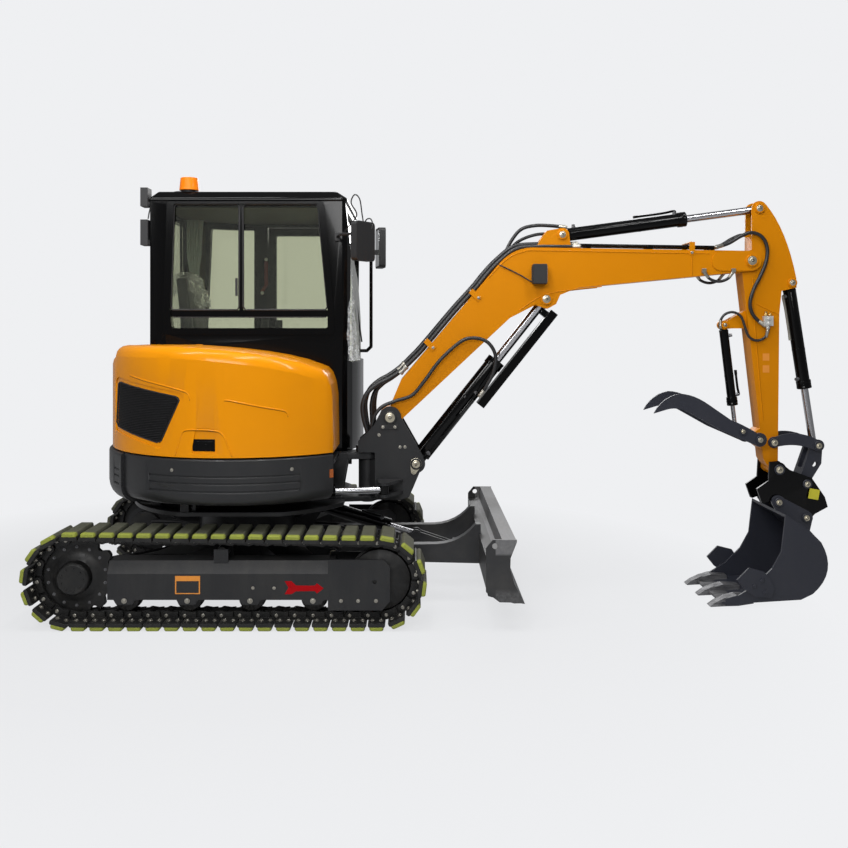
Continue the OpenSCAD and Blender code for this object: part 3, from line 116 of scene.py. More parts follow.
class ExcavatorSizes(bpy.types.PropertyGroup):
    """Sizes of the fittings."""

    edges: factor("Edge rounding", "Factor on the rounding of every edge")
    bolts: factor("Bolt heads", "Factor on the radius of every bolt head")
    hoses: factor("Hoses", "Factor on the radius of every hydraulic hose")


class ExcavatorStudio(bpy.types.PropertyGroup):
    """Floor, lights and camera."""

    backdrop: colour("Backdrop", (0.863, 0.871, 0.888))
    lens: FloatProperty(name="Lens", description="Focal length in millimetres", min=10.0, max=200.0, default=38.46)
    eye: FloatVectorProperty(name="Eye", description="Camera position", subtype="TRANSLATION", unit="LENGTH",
                             size=3, default=(1.053, -5.770, 1.634))
    mirrored: FloatProperty(name="Mirrored backdrop", description="Strength of the backdrop in reflections",
                            min=0.0, max=1.0, default=0.27)
    lights: IntProperty(name="Strip lights", description="Number of long lamps overhead", min=1, max=8, default=3)


def paint():
    return bpy.context.scene.excavator_paint


def sizes():
    return bpy.context.scene.excavator_sizes


def studio():
    return bpy.context.scene.excavator_studio


# ---------------------------------------------------------------- shader maths


def maths(operation, swapped=False):
    """A method of Value that adds the Math node of an operation."""
    return lambda *terms: terms[0].math(operation, *(reversed(terms) if swapped else terms))


class Value:
    """A node's output that takes part in expressions: each operator adds its Math node."""

    def __init__(self, tree, socket):
        self.tree = tree
        self.socket = socket

    def math(self, operation, *terms):
        node = self.tree.nodes.new("ShaderNodeMath")
        node.operation = operation
        for entry, term in zip(node.inputs, terms):
            plug(self.tree, entry, term)
        return Value(self.tree, node.outputs[0])

    __add__ = __radd__ = maths("ADD")
    __sub__ = maths("SUBTRACT")
    __rsub__ = maths("SUBTRACT", swapped=True)
    __mul__ = __rmul__ = maths("MULTIPLY")
    __truediv__ = maths("DIVIDE")
    __abs__ = maths("ABSOLUTE")

    def limited(self):
        """The value kept between 0 and 1."""
        return self.math("MINIMUM", self.math("MAXIMUM", self, 0.0), 1.0)

    def above(self, edge, soft):
        """0 below edge, 1 from edge + soft up."""
        return ((self - edge) / soft).limited()

    def below(self, edge, soft):
        """1 below edge - soft, 0 from edge up."""
        return ((edge - self) / soft).limited()


def plug(tree, entry, term):
    """Links or sets one input socket."""
    if isinstance(term, Value):
        tree.links.new(term.socket, entry)
    elif hasattr(entry.default_value, "__len__") and len(entry.default_value) == 4 and len(term) == 3:
        entry.default_value = (*term, 1.0)
    else:
        entry.default_value = term


class Finish:
    """One material under construction."""

    def __init__(self, name):
        self.material = bpy.data.materials.new(name)
        self.material.use_nodes = True
        self.tree = self.material.node_tree
        self.shader = self.tree.nodes["Principled BSDF"]
        self.place = self.node("ShaderNodeTexCoord", output="Object")

    def node(self, kind, settings=None, output=0, **entries):
        """Adds a node, with its settings first and then its sockets, and returns one of its outputs."""
        made = self.tree.nodes.new(kind)
        for key, value in (settings or {}).items():
            setattr(made, key, value)
        names = {s.identifier: s for s in made.inputs}
        names |= {s.name.replace(" ", "_"): s for s in made.inputs if s.enabled}
        for key, term in entries.items():
            plug(self.tree, names[key], term)
        outs = {s.identifier: s for s in made.outputs} | {s.name: s for s in made.outputs if s.enabled}
        return Value(self.tree, made.outputs[output] if isinstance(output, int) else outs[output])

    def noise(self, scale, detail=3.0, roughness=0.5, stretch=None):
        """Noise from 0 to 1, with its middle near 0.5."""
        place = self.place
        if stretch:
            place = self.node("ShaderNodeMapping", Vector=place, Scale=stretch)
        return self.node("ShaderNodeTexNoise", {"noise_dimensions": "3D"}, Vector=place, Scale=scale,
                         Detail=detail, Roughness=roughness)

    def axes(self):
        """The position along X, Y and Z, in metres."""
        split = self.node("ShaderNodeSeparateXYZ", Vector=self.place)
        return [Value(self.tree, s) for s in split.socket.node.outputs]

    def facing(self):
        """How far the surface faces up, from -1 to 1."""
        normal = self.node("ShaderNodeNewGeometry", output="Normal")
        split = self.node("ShaderNodeSeparateXYZ", Vector=normal)
        return Value(self.tree, split.socket.node.outputs[2])

    def mixed(self, factor, first, second):
        """A colour between first and second."""
        return self.node("ShaderNodeMix", {"data_type": "RGBA"}, "Result_Color", Factor_Float=factor,
                         A_Color=first, B_Color=second)

    def cells(self, scale):
        """The distance to the middle of the nearest cell."""
        return self.node("ShaderNodeTexVoronoi", {"feature": "F1"}, "Distance", Vector=self.place, Scale=scale)

    def set(self, **entries):
        """Sets or links the shader's own sockets."""
        for key, term in entries.items():
            plug(self.tree, self.shader.inputs[key.replace("_", " ")], term)

    def bump(self, height, depth, strength):
        """Turns a height into the shader's normal; depth is in metres."""
        self.set(Normal=self.node("ShaderNodeBump", Height=height, Distance=depth, Strength=strength))


def finish(maker, name=None):
    """Turns a maker into a function that makes its material once and hands out the same one after that."""

    @functools.cache
    def handed():
        f = Finish(name or maker.__name__)
        maker(f)
        return f.material

    return handed


def sprayed(name, key, gloss, coat, dust_share, speck, shine, depth=1.0):
    """Sprayed paint: a slight flow in the coat, uneven gloss, and dust where it can lie."""

    def maker(f):
        shade = [c * depth for c in getattr(paint(), key)]
        patches = f.noise(2.2, 4.0, 0.6)
        streaks = f.noise(7.0, 5.0, 0.65, stretch=(1.0, 1.0, 0.25))
        up = f.facing()
        grain = f.noise(180.0, 2.0, 0.6)
        dust = ((streaks - 0.42) * 2.2).limited() * (0.35 + 0.65 * up.above(-0.1, 0.9)) * dust_share
        tint = f.mixed(((patches - 0.35) * 1.6).limited() * 0.5, shade, [c * 0.86 for c in shade])
        dots = ((grain - 0.62) * 9.0).limited() * dust_share * speck
        f.set(Base_Color=f.mixed(dust + dots * 0.5, tint, paint().dust))
        f.set(Roughness=gloss + (patches - 0.5) * 0.10 + dust * 0.5 + dots * 0.2)
        f.set(Coat_Weight=coat, Coat_Roughness=0.06, Specular_IOR_Level=shine)
        f.bump(f.noise(95.0, 1.5, 0.4), 0.0004, 0.22)

    return finish(maker, name)


# glossy yellow of the hood and bonnet, and a darker copy of it, with a little more dust, in the bottom of a pressed
# line: its darkness is painted shade of the crease
hood_paint = sprayed("hood_paint", "hood", 0.26, 0.22, 0.006, 0.2, 0.10)
crease_paint = sprayed("crease_paint", "hood", 0.5, 0.0, 0.02, 0.3, 0.1, 0.32)
# satin yellow of the boom and arm
boom_paint = sprayed("boom_paint", "boom", 0.36, 0.06, 0.010, 0.4, 0.10)
# dark grey of the frames, skirts and counterweight, and a dusty one low on the machine
frame_paint = sprayed("frame_paint", "frame", 0.40, 0.08, 0.05, 0.6, 0.3)
track_frame_paint = sprayed("track_frame_paint", "frame", 0.48, 0.0, 0.12, 1.0, 0.3)
# gloss black of the cab frame and the cylinders
gloss_black = sprayed("gloss_black", "black", 0.16, 0.12, 0.004, 0.2, 0.12)
# blue-grey satin of the bucket and thumb
tool_paint = sprayed("tool_paint", "tool", 0.40, 0.08, 0.06, 0.6, 0.3)


@finish
def blade_paint(f):
    """The blade's dark paint, rubbed pale along the top band and the cutting edge."""
    # in metres: where the front face begins, the foot of its top band and the top of its cutting edge
    face, band_foot, edge_top = 1.487, 0.412, 0.232
    x, _, z = f.axes()
    patches = f.noise(3.0, 5.0, 0.6)
    fine = f.noise(60.0, 4.0, 0.7, stretch=(1.0, 0.2, 1.0))
    front = x.above(face, 0.002)
    band = z.above(band_foot, 0.012) * front
    edge = z.below(edge_top, 0.03) * front
    rub = ((patches - 0.3) * 2.0).limited() * 0.35 + ((fine - 0.35) * 2.0).limited() * 0.65
    pale = ((band * (0.45 + 0.55 * rub)) + edge * rub * 0.6).limited()
    tint = f.mixed(pale, paint().frame, (0.20, 0.20, 0.205))
    dusty = ((patches - 0.45) * 2.5).limited() * 0.12
    f.set(Base_Color=f.mixed(dusty, tint, paint().dust), Roughness=0.42 + pale * 0.15 + dusty)
    f.bump(f.noise(120.0, 2.0, 0.5), 0.0004, 0.3)


@finish
def chain_steel(f):
    """Oiled black steel of chains, sprockets and rollers, with dust in the hollows."""
    patches = f.noise(14.0, 5.0, 0.65)
    f.set(Base_Color=f.mixed(((patches - 0.45) * 2.0).limited() * 0.5, (0.012, 0.012, 0.012), (0.06, 0.055, 0.048)))
    f.set(Metallic=0.35, Roughness=0.45 + (patches - 0.5) * 0.3)
    f.bump(f.noise(90.0, 3.0, 0.6), 0.0008, 0.5)


@finish
def shoe_rubber(f):
    """Olive rubber of the shoe pads, with bright marked ends and scuffs."""
    _, y, _ = f.axes()
    patches = f.noise(9.0, 5.0, 0.65)
    scuffs = f.noise(70.0, 4.0, 0.7, stretch=(0.35, 1.0, 1.0))
    # the marking begins this far from the machine's middle, in metres
    marking = 0.806
    wobble = (patches - 0.5) * 0.03
    end = (abs(y) + wobble).above(marking, 0.022)
    worn = ((scuffs - 0.40) * 2.4).limited()
    rubber = f.mixed(worn * 0.55, paint().shoe, (0.15, 0.145, 0.115))
    marked = f.mixed(worn * 0.35, paint().shoe_end, (0.17, 0.18, 0.06))
    f.set(Base_Color=f.mixed(end * (0.55 + 0.45 * patches), rubber, marked))
    f.set(Roughness=0.68 + worn * 0.15, Specular_IOR_Level=0.35)
    f.bump(scuffs, 0.0012, 0.5)


@finish
def chrome(f):
    """Hard chrome of the rods, with faint grinding rings."""
    rings = f.noise(40.0, 2.0, 0.5)
    f.set(Base_Color=(0.52, 0.52, 0.54), Metallic=1.0, Roughness=0.20 + (rings - 0.5) * 0.06)


@finish
def bare_steel(f):
    """Zinc-bright steel of pins, bolts and fittings."""
    patches = f.noise(60.0, 3.0, 0.6)
    f.set(Base_Color=f.mixed(patches, (0.42, 0.40, 0.34), (0.26, 0.25, 0.23)), Metallic=0.9)
    f.set(Roughness=0.30 + patches * 0.2)


@finish
def worn_steel(f):
    """Silver scraped steel of the bucket's teeth and lip."""
    scrape = f.noise(40.0, 5.0, 0.7, stretch=(0.25, 1.0, 1.0))
    patches = f.noise(11.0, 4.0, 0.6)
    bare = ((scrape - 0.33) * 2.4).limited()
    f.set(Base_Color=f.mixed(bare, (0.05, 0.05, 0.055), (0.28, 0.28, 0.29)), Metallic=0.55)
    f.set(Roughness=0.45 + (patches - 0.5) * 0.25)
    f.bump(scrape, 0.001, 0.5)


@finish
def window_glass(f):
    """Clear window glass, a little dusty."""
    dust = f.noise(5.0, 5.0, 0.6)
    f.set(Base_Color=(0.66, 0.68, 0.56), Roughness=0.02 + ((dust - 0.5) * 0.6).limited() * 0.08)
    f.set(Transmission_Weight=1.0, IOR=1.45)


@finish
def black_plastic(f):
    """Matte black of mirrors, seals and trim."""
    f.set(Base_Color=(0.010, 0.010, 0.011), Roughness=0.55 + (f.noise(8.0) - 0.5) * 0.15)
    f.bump(f.noise(300.0, 2.0, 0.5), 0.0003, 0.4)


@finish
def hose_rubber(f):
    """Black hose rubber with a fine wrapped pattern."""
    f.set(Base_Color=(0.011, 0.011, 0.012), Roughness=0.42 + (f.noise(20.0) - 0.5) * 0.15)
    f.bump(f.noise(260.0, 2.0, 0.5), 0.0005, 0.4)


@finish
def seat_cloth(f):
    """Woven grey cover of the seat."""
    weave = f.cells(260.0)
    patches = f.noise(6.0)
    f.set(Base_Color=f.mixed(patches, (0.045, 0.046, 0.05), (0.075, 0.076, 0.08)), Roughness=0.85)
    f.set(Sheen_Weight=0.3, Sheen_Roughness=0.5)
    f.bump(weave, 0.0008, 0.6)


@finish
def curtain_cloth(f):
    """Light grey curtain behind the seat."""
    patches = f.noise(5.0, 4.0)
    f.set(Base_Color=f.mixed(patches, (0.34, 0.38, 0.36), (0.47, 0.50, 0.48)), Roughness=0.9)
    f.bump(f.noise(220.0, 2.0), 0.0006, 0.5)


@finish
def beacon_lens(f):
    """Amber lens."""
    f.set(Base_Color=paint().lens, Roughness=0.25, IOR=1.49, Specular_IOR_Level=0.2)
    f.bump(f.node("ShaderNodeTexWave", {"wave_type": "BANDS", "bands_direction": "Z"}, "Fac", Vector=f.place,
                  Scale=60.0), 0.0006, 0.4)


@finish
def lamp_glass(f):
    """Clear glass of a work lamp, over its bright bowl."""
    cells = f.cells(90.0)
    f.set(Base_Color=(0.62, 0.64, 0.66), Metallic=0.6, Roughness=0.12 + cells * 0.2, Coat_Weight=0.8)
    f.bump(cells, 0.002, 0.6)


@finish
def mesh_black(f):
    """Dark screen with fine holes, seen behind the louvres; the holes are painted near-black as the shade behind them,
    and the same near-black is painted shade in the recess of each pin's nut.
    """
    cells = f.cells(150.0)
    f.set(Base_Color=f.mixed(cells.above(0.35, 0.1), (0.002, 0.002, 0.002), (0.022, 0.022, 0.024)), Roughness=0.5)


def plain(name, shade, rough, metal=0.0, grain=0.0, shine=0.5):
    """One colour with a faint unevenness."""

    def maker(f):
        patches = f.noise(24.0, 3.0)
        f.set(Base_Color=f.mixed(patches, [c * 0.88 for c in shade], [min(1.0, c * 1.1) for c in shade]))
        f.set(Roughness=rough + (patches - 0.5) * 0.12, Metallic=metal, Specular_IOR_Level=shine)
        if grain:
            f.bump(f.noise(240.0, 2.0), grain, 0.4)

    return finish(maker, name)


# travel arrows, reflectors, blank plates, webbing, the board that lines the cab
arrow_red = plain("arrow_red", (0.36, 0.001, 0.004), 0.6, shine=0.12)
reflector_amber = plain("reflector_amber", (0.34, 0.08, 0.01), 0.2)
plate_orange = plain("plate_orange", (0.72, 0.26, 0.03), 0.45)
plate_yellow = plain("plate_yellow", (0.55, 0.50, 0.03), 0.45)
belt_red = plain("belt_red", (0.16, 0.03, 0.025), 0.7, 0.0, 0.0006)
lining_olive = plain("lining_olive", (0.045, 0.040, 0.014), 0.7, 0.0, 0.0005)
# plated nuts of the pins, a hose fitting, the valve block
zinc = plain("zinc", (0.50, 0.46, 0.36), 0.30, 0.85, 0.0004)
brass = plain("brass", (0.55, 0.36, 0.12), 0.28, 0.95)
cast_alloy = plain("cast_alloy", (0.62, 0.62, 0.60), 0.42, 0.55, 0.0005)


@finish
def clear_wrap(f):
    """Clear plastic film left on the seat and the windscreen, painted white in patches as the sheen and glints of its
    crumples.
    """
    f.set(Base_Color=(0.92, 0.93, 0.94), Roughness=0.12, Transmission_Weight=0.35, IOR=1.25)
    # white that shows in noisy patches: painted sheen of the crumpled film
    f.set(Alpha=((f.noise(34.0, 4.0, 0.7) - 0.42) * 2.4).limited() * 0.75 + 0.14)


@finish
def mirror_glass(f):
    """Silvered mirror."""
    f.set(Base_Color=(0.82, 0.83, 0.84), Metallic=1.0, Roughness=0.03 + (f.noise(4.0) - 0.4).limited() * 0.04)


# ---------------------------------------------------------------- shapes


def made(name, mesh, body, material, slot, smooth):
    """An object from a mesh in the machine's own frame, riding on a body where one is given."""
    piece = bpy.data.objects.new(name, mesh)
    bpy.context.scene.collection.objects.link(piece)
    for one in material if isinstance(material, (list, tuple)) else [material]:
        mesh.materials.append(one())
    mesh.shade_smooth()
    mesh.set_sharp_from_angle(angle=math.radians(smooth))
    if body:
        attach(piece, body)
    return piece


def rounded(piece, width, segments, angle, miter):
    """Rounds the edges of a piece that are sharper than an angle; the width is in millimetres."""
    bevel = piece.modifiers.new("Rounded edges", "BEVEL")
    bevel.width = width * MM * sizes().edges
    bevel.segments = segments
    bevel.limit_method = "ANGLE"
    bevel.angle_limit = math.radians(angle)
    bevel.miter_outer = miter
    bevel.harden_normals = True


def softened(node, material, edge, slot):
    """A copy of a CAD node with its edges rounded, which stands for the node."""
    mesh = bpy.data.meshes.new(node + "_shell")
    work = bmesh.new()
    work.from_mesh(frame["nodes"][node].data)
    bmesh.ops.remove_doubles(work, verts=work.verts, dist=2e-6)
    bmesh.ops.dissolve_limit(work, angle_limit=math.radians(0.6), verts=work.verts, edges=work.edges)
    if node in TONES:
        for face in work.faces:
            face.material_index = TONES[node](face.calc_center_median() / MM, face.normal)
    work.to_mesh(mesh)
    work.free()
    piece = made(node + "_shell", mesh, frame["nodes"][node]["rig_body"], material, slot, SHARP)
    if edge:
        rounded(piece, edge, 2, SHARP, "MITER_ARC")
    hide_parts(node)


def across(direction):
    """Two unit vectors across a direction."""
    ahead = Vector(direction).normalized()
    side = ahead.cross(Vector((0, 0, 1)) if abs(ahead.z) < 0.9 else Vector((1, 0, 0))).normalized()
    return side, ahead.cross(side)


def smooth_line(points, steps=7):
    """A smooth line through points."""
    spots = [Vector(point) for point in points]
    ends = [2 * spots[0] - spots[1], *spots, 2 * spots[-1] - spots[-2]]
    line = []
    for a, b, c, d in zip(ends, ends[1:], ends[2:], ends[3:]):
        for i in range(steps):
            t = i / steps
            line.append(0.5 * (2 * b + (c - a) * t + (2 * a - 5 * b + 4 * c - d) * t * t
                               + (3 * b - a - 3 * c + d) * t ** 3))
    return line + [spots[-1]]


class Build:
    """Collects the parts of one piece in a mesh. Sizes are in millimetres of the machine's own frame."""

    def __init__(self):
        self.work = bmesh.new()
        self.tone = 0
        self.turn = Matrix.Identity(4)

    def loft(self, rings, ends=True):
        """A skin over rings of points, with both ends closed."""
        rows = [[self.work.verts.new((self.turn @ Vector(point)) * MM) for point in ring] for ring in rings]
        count = len(rows[0])
        faces = [self.work.faces.new((low[i], low[(i + 1) % count], high[(i + 1) % count], high[i]))
                 for low, high in zip(rows, rows[1:]) for i in range(count)]
        if ends:
            faces += [self.work.faces.new(rows[0][::-1]), self.work.faces.new(rows[-1])]
        for face in faces:
            face.material_index = self.tone
        return self

    def ring(self, centre, side, rise, radius, sides):
        """The corners of a round section across side and rise."""
        return [centre + radius * (side * math.cos(math.tau * i / sides) + rise * math.sin(math.tau * i / sides))
                for i in range(sides)]

    def turned(self, place, axis, profile, sides=24, ends=True):
        """A solid turned about an axis; the profile has pairs of distance along the axis and radius."""
        ahead = Vector(axis).normalized()
        side, rise = across(ahead)
        return self.loft([self.ring(Vector(place) + ahead * along, side, rise, radius, sides)
                          for along, radius in profile], ends)

    def collar(self, place, axis, profile, sides=28):
        """A ring turned about an axis: the profile closes on itself and the middle stays open."""
        return self.turned(place, axis, [*profile, profile[0]], sides, ends=False)

    def tube(self, points, radius, sides=12):
        """A round tube along points; radius may be one number or one for each point."""
        points = [Vector(point) for point in points]
        radii = radius if isinstance(radius, (list, tuple)) else [radius] * len(points)
        side, _ = across(points[1] - points[0])
        rings = []
        for i, point in enumerate(points):
            ahead = (points[min(i + 1, len(points) - 1)] - points[max(i - 1, 0)]).normalized()
            side = (side - ahead * side.dot(ahead)).normalized()
            rings.append(self.ring(point, side, ahead.cross(side), radii[i], sides))
        return self.loft(rings)

    def cord(self, points, radius, sides=8, steps=7):
        """A round tube on a smooth line through points."""
        return self.tube(smooth_line(points, steps), radius, sides)

    def slab(self, shape, y0, y1):
        """A plate from y0 to y1 whose shape is a list of (x, z) corners."""
        return self.loft([[(x, y, z) for x, z in shape] for y in (y0, y1)])

    def block(self, low, high):
        """A box between two corners."""
        (x0, y0, z0), (x1, y1, z1) = low, high
        return self.slab([(x0, z0), (x1, z0), (x1, z1), (x0, z1)], y0, y1)

    def bolt(self, place, axis, radius):
        """A hexagon bolt head on its washer."""
        radius *= sizes().bolts
        self.turned(place, axis, [(-1, radius * 1.5), (radius * 0.22, radius * 1.5), (radius * 0.25, radius * 1.4)],
                    18)
        return self.turned(place, axis, [(0, radius), (radius * 0.85, radius), (radius, radius * 0.82)], 6)

    def stamp(self, other, turn):
        """Adds a copy of another build, moved by a matrix."""
        verts = {vert: self.work.verts.new((self.turn @ turn @ (vert.co / MM)) * MM) for vert in other.work.verts}
        for face in other.work.faces:
            self.work.faces.new([verts[vert] for vert in face.verts]).material_index = face.material_index
        return self

    def piece(self, name, body, material, slot, edge=0.0, smooth=32.0, segments=2):
        """Turns what was collected into an object that rides on a body."""
        bmesh.ops.recalc_face_normals(self.work, faces=self.work.faces)
        mesh = bpy.data.meshes.new(name)
        self.work.to_mesh(mesh)
        self.work.free()
        piece = made(name, mesh, body, material, slot, smooth)
        if edge:
            rounded(piece, edge, segments, 35, "MITER_SHARP")
        return piece


def box_mm(node):
    """The lowest and highest corner of a CAD node, in millimetres."""
    return [Vector(corner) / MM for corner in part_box(node)]


def placed(place, degrees, axis):
    """The matrix that moves to a place after a turn about an axis."""
    return Matrix.Translation(place) @ Matrix.Rotation(math.radians(degrees), 4, axis)


def spread(first, last, steps):
    """Evenly spread numbers from first to last."""
    return [first + (last - first) * i / steps for i in range(steps + 1)]


def arc(x, z, radius, degrees):
    """Points of a circle at the given angles."""
    return [(x + radius * math.cos(a), z + radius * math.sin(a)) for a in map(math.radians, degrees)]


def outline(corners, shares):
    """Points at shares of each side of a closed outline, with the first again at the end."""
    ring = [Vector(corner) for corner in corners]
    points = [a.lerp(b, share) for a, b in zip(ring, ring[1:] + ring[:1]) for share in shares]
    return points + points[:1]


def cloth(name, place, columns, rows, thickness, material, slot, smooth):
    """A thin sheet of columns by rows cells; place(u, v) gives its points for u and v from 0 to 1."""
    work = bmesh.new()
    lines = [[work.verts.new(place(i / columns, j / rows) * MM) for i in range(columns + 1)] for j in range(rows + 1)]
    for low, high in zip(lines, lines[1:]):
        for i in range(columns):
            work.faces.new((low[i], low[i + 1], high[i + 1], high[i]))
    mesh = bpy.data.meshes.new(name)
    work.to_mesh(mesh)
    work.free()
    piece = made(name, mesh, "house", material, slot, smooth)
    piece.modifiers.new("Thickness", "SOLIDIFY").thickness = thickness
    return piece


# ---------------------------------------------------------------- operators


# the picture's middle away from the camera's axis, as shares of the picture's width
CAMERA_SHIFT = (0.0100, -0.1097)
# half the side of the floor, in metres
FLOOR_REACH = 60.0


def background_share(tree):
    """1 where the camera sees the background, also through glass, and less where metal mirrors it."""
    path = tree.nodes.new("ShaderNodeLightPath")
    direct = Value(tree, path.outputs["Is Camera Ray"])
    through = Value(tree, path.outputs["Is Transmission Ray"])
    mirrored = Value(tree, path.outputs["Is Glossy Ray"])
    return direct.math("MAXIMUM", direct.math("MAXIMUM", direct, through), mirrored * studio().mirrored)


class EXCAVATOR_OT_stage(bpy.types.Operator):
    """Make the camera, the floor and the lamps"""

    bl_idname = "excavator.stage"
    bl_label = "Stage"

    def execute(self, context):
        scene = context.scene
        scene.view_settings.view_transform = "Standard"
        camera = bpy.data.cameras.new("camera")
        camera.lens = studio().lens
        camera.sensor_width = 36.0
        camera.shift_x, camera.shift_y = CAMERA_SHIFT
        camera.clip_end = 100.0
        eye = bpy.data.objects.new("camera", camera)
        eye.location = studio().eye
        eye.rotation_euler = (math.radians(90), 0, 0)
        scene.collection.objects.link(eye)
        scene.camera = eye
        self.floor(scene)
        self.lamps(scene)
        return {"FINISHED"}

    def floor(self, scene):
        """A pale floor that fades into the world behind it."""
        mesh = bpy.data.meshes.new("floor")
        mesh.from_pydata([(x * FLOOR_REACH, y * FLOOR_REACH, 0) for x, y in ((-1, -1), (1, -1), (1, 1), (-1, 1))], [],
                         [(0, 1, 2, 3)])
        floor = bpy.data.objects.new("floor", mesh)
        scene.collection.objects.link(floor)
        f = Finish("floor")
        f.set(Base_Color=(0.56, 0.565, 0.575), Roughness=0.9, Specular_IOR_Level=0.1)
        glow = f.tree.nodes.new("ShaderNodeEmission")
        glow.inputs["Color"].default_value = (*studio().backdrop, 1.0)
        seen = background_share(f.tree)
        away = f.node("ShaderNodeVectorMath", {"operation": "LENGTH"}, "Value",
                      Vector=f.node("ShaderNodeVectorMath", {"operation": "SUBTRACT"}, "Vector",
                                    Vector=f.place, Vector_001=(1.2, 0.0, 0.0)))
        # a soft shade lies round the machine and fades out from 1.9 to 3.5 metres
        share = seen * (0.80 + 0.20 * away.above(1.9, 1.6))
        blend = f.tree.nodes.new("ShaderNodeMixShader")
        plug(f.tree, blend.inputs[0], share)
        f.tree.links.new(f.shader.outputs[0], blend.inputs[1])
        f.tree.links.new(glow.outputs[0], blend.inputs[2])
        f.tree.links.new(blend.outputs[0], f.tree.nodes["Material Output"].inputs["Surface"])
        mesh.materials.append(f.material)

    def lamps(self, scene):
        """Soft lamps: long strips overhead, one broad one on each side."""
        world = bpy.data.worlds.new("studio")
        scene.world = world
        world.use_nodes = True
        tree = world.node_tree
        back = tree.nodes["Background"]
        back.inputs["Color"].default_value = (*studio().backdrop, 1.0)
        seen = background_share(tree)
        plug(tree, back.inputs["Strength"], seen.math("MAXIMUM", seen, 0.22))
        for i in range(studio().lights):
            self.area(scene, f"strip_{i}", (-1.3 + 1.9 * i, -1.6, 4.6), (0.4 + 0.5 * i, -0.3, 1.0), (0.22, 3.2), 62)
        self.area(scene, "front_wash", (-0.6, -6.5, 4.2), (0.8, 0, 1.0), (4.0, 1.6), 230)
        self.area(scene, "far_wash", (2.0, 6.0, 3.6), (0.8, 0, 1.0), (4.0, 1.6), 110)

    def area(self, scene, name, place, aim, size, power):
        """One rectangular lamp at a place, turned towards its aim."""
        lamp = bpy.data.lights.new(name, "AREA")
        lamp.shape = "RECTANGLE"
        lamp.size, lamp.size_y = size
        lamp.energy = power
        holder = bpy.data.objects.new(name, lamp)
        holder.location = place
        holder.rotation_euler = (Vector(aim) - Vector(place)).to_track_quat("-Z", "Y").to_euler()
        scene.collection.objects.link(holder)


# node, finish, rounding of its edges in millimetres, slot
SHELLS = (
    ("chassis", track_frame_paint, 3, "frame_grey"),
    ("track_frames", track_frame_paint, 2, "frame_grey"),
    ("sprockets", chain_steel, 2, "cast"),
    ("idlers_and_rollers", chain_steel, 2, "cast"),
    ("slew_ring", chain_steel, 2, "cast"),
    ("dozer_blade", blade_paint, 2, "frame_grey"),
    ("deck_frame", frame_paint, 3, "frame_grey"),
    ("counterweight", frame_paint, 9, "frame_grey"),
    ("skirts", frame_paint, 7, "frame_grey"),
    ("engine", chain_steel, 6, "cast"),
    ("cab_frame", gloss_black, 4, "gloss_black"),
    ("cab_roof", gloss_black, 9, "gloss_black"),
    ("cab_windows", window_glass, 0, "clear_glass"),
    ("seat", seat_cloth, 12, "seat_cloth"),
    ("controls", black_plastic, 4, "trim_black"),
    ("mirrors", black_plastic, 14, "trim_black"),
    ("handrail", gloss_black, 0, "gloss_black"),
    ("lamps", (black_plastic, beacon_lens, lamp_glass), 3, "lamp_shell"),
    ("side_hood", hood_paint, 9, "body_yellow"),
    ("rear_bonnet", hood_paint, 9, "body_yellow"),
    ("cab_door", gloss_black, 4, "gloss_black"),
    ("door_window", window_glass, 0, "clear_glass"),
    ("swing_bracket", frame_paint, 3, "frame_grey"),
    ("swing_barrel", gloss_black, 2, "gloss_black"),
    ("swing_rod", (chrome, gloss_black), 1, "rod_chrome"),
    ("boom", boom_paint, 3, "boom_yellow"),
    ("boom_pipes", gloss_black, 1, "trim_black"),
    ("boom_lamp", black_plastic, 3, "lamp_shell"),
    ("boom_barrel", gloss_black, 2, "gloss_black"),
    ("boom_rod", (chrome, gloss_black), 1, "rod_chrome"),
    ("rod_guard", gloss_black, 2, "gloss_black"),
    ("arm_barrel", gloss_black, 2, "gloss_black"),
    ("arm_rod", (chrome, gloss_black), 1, "rod_chrome"),
    ("arm", boom_paint, 3, "boom_yellow"),
    ("bucket_barrel", gloss_black, 2, "gloss_black"),
    ("bucket_rod", (chrome, gloss_black), 1, "rod_chrome"),
    ("guide_links", tool_paint, 2, "tool_grey"),
    ("bucket_link", tool_paint, 3, "tool_grey"),
    ("coupler", gloss_black, 2, "gloss_black"),
    ("bucket", (tool_paint, worn_steel), 2, "tool_grey"),
    ("thumb", tool_paint, 3, "tool_grey"),
    ("thumb_barrel", gloss_black, 1, "gloss_black"),
    ("thumb_rod", (chrome, gloss_black), 1, "rod_chrome"),
    ("blade_barrel", gloss_black, 2, "gloss_black"),
    ("blade_rod", (chrome, gloss_black), 1, "rod_chrome"),
)


def lamp_tone(centre, normal):
    """Amber for the beacon over its foot, glass on the lamps' rear faces, black elsewhere."""
    foot_top, beacon_rear, lamp_rear = 2510, -450, -636
    if centre.z > foot_top and centre.x > beacon_rear:
        return 1
    return 2 if normal.x < -0.95 and centre.x < lamp_rear else 0


def bucket_tone(centre, normal):
    """Bare steel on the teeth and where the lip is rubbed."""
    teeth_end, rub_end, rub_top = 2962, 3052, 92
    return int(centre.x < teeth_end or centre.x < rub_end and centre.z < rub_top)


def eye_tone(x, v, reach, axis=2):
    """Black paint on a rod's eye, within reach of its pin at x and v, and chrome on the rest."""
    return lambda centre, normal: int(math.hypot(centre.x - x, centre[axis] - v) < reach)


# what picks the number of a face's material, by the face's centre in millimetres and its normal
TONES = {
    "lamps": lamp_tone,
    "bucket": bucket_tone,
    "boom_rod": eye_tone(1854, 1829, 56),
    "arm_rod": eye_tone(3164, 2386, 44),
    "bucket_rod": eye_tone(3518, 933, 42),
    "thumb_rod": eye_tone(3037, 1025, 30),
    "blade_rod": eye_tone(1056, 341, 44),
    "swing_rod": eye_tone(865, -372, 44, axis=1),
}


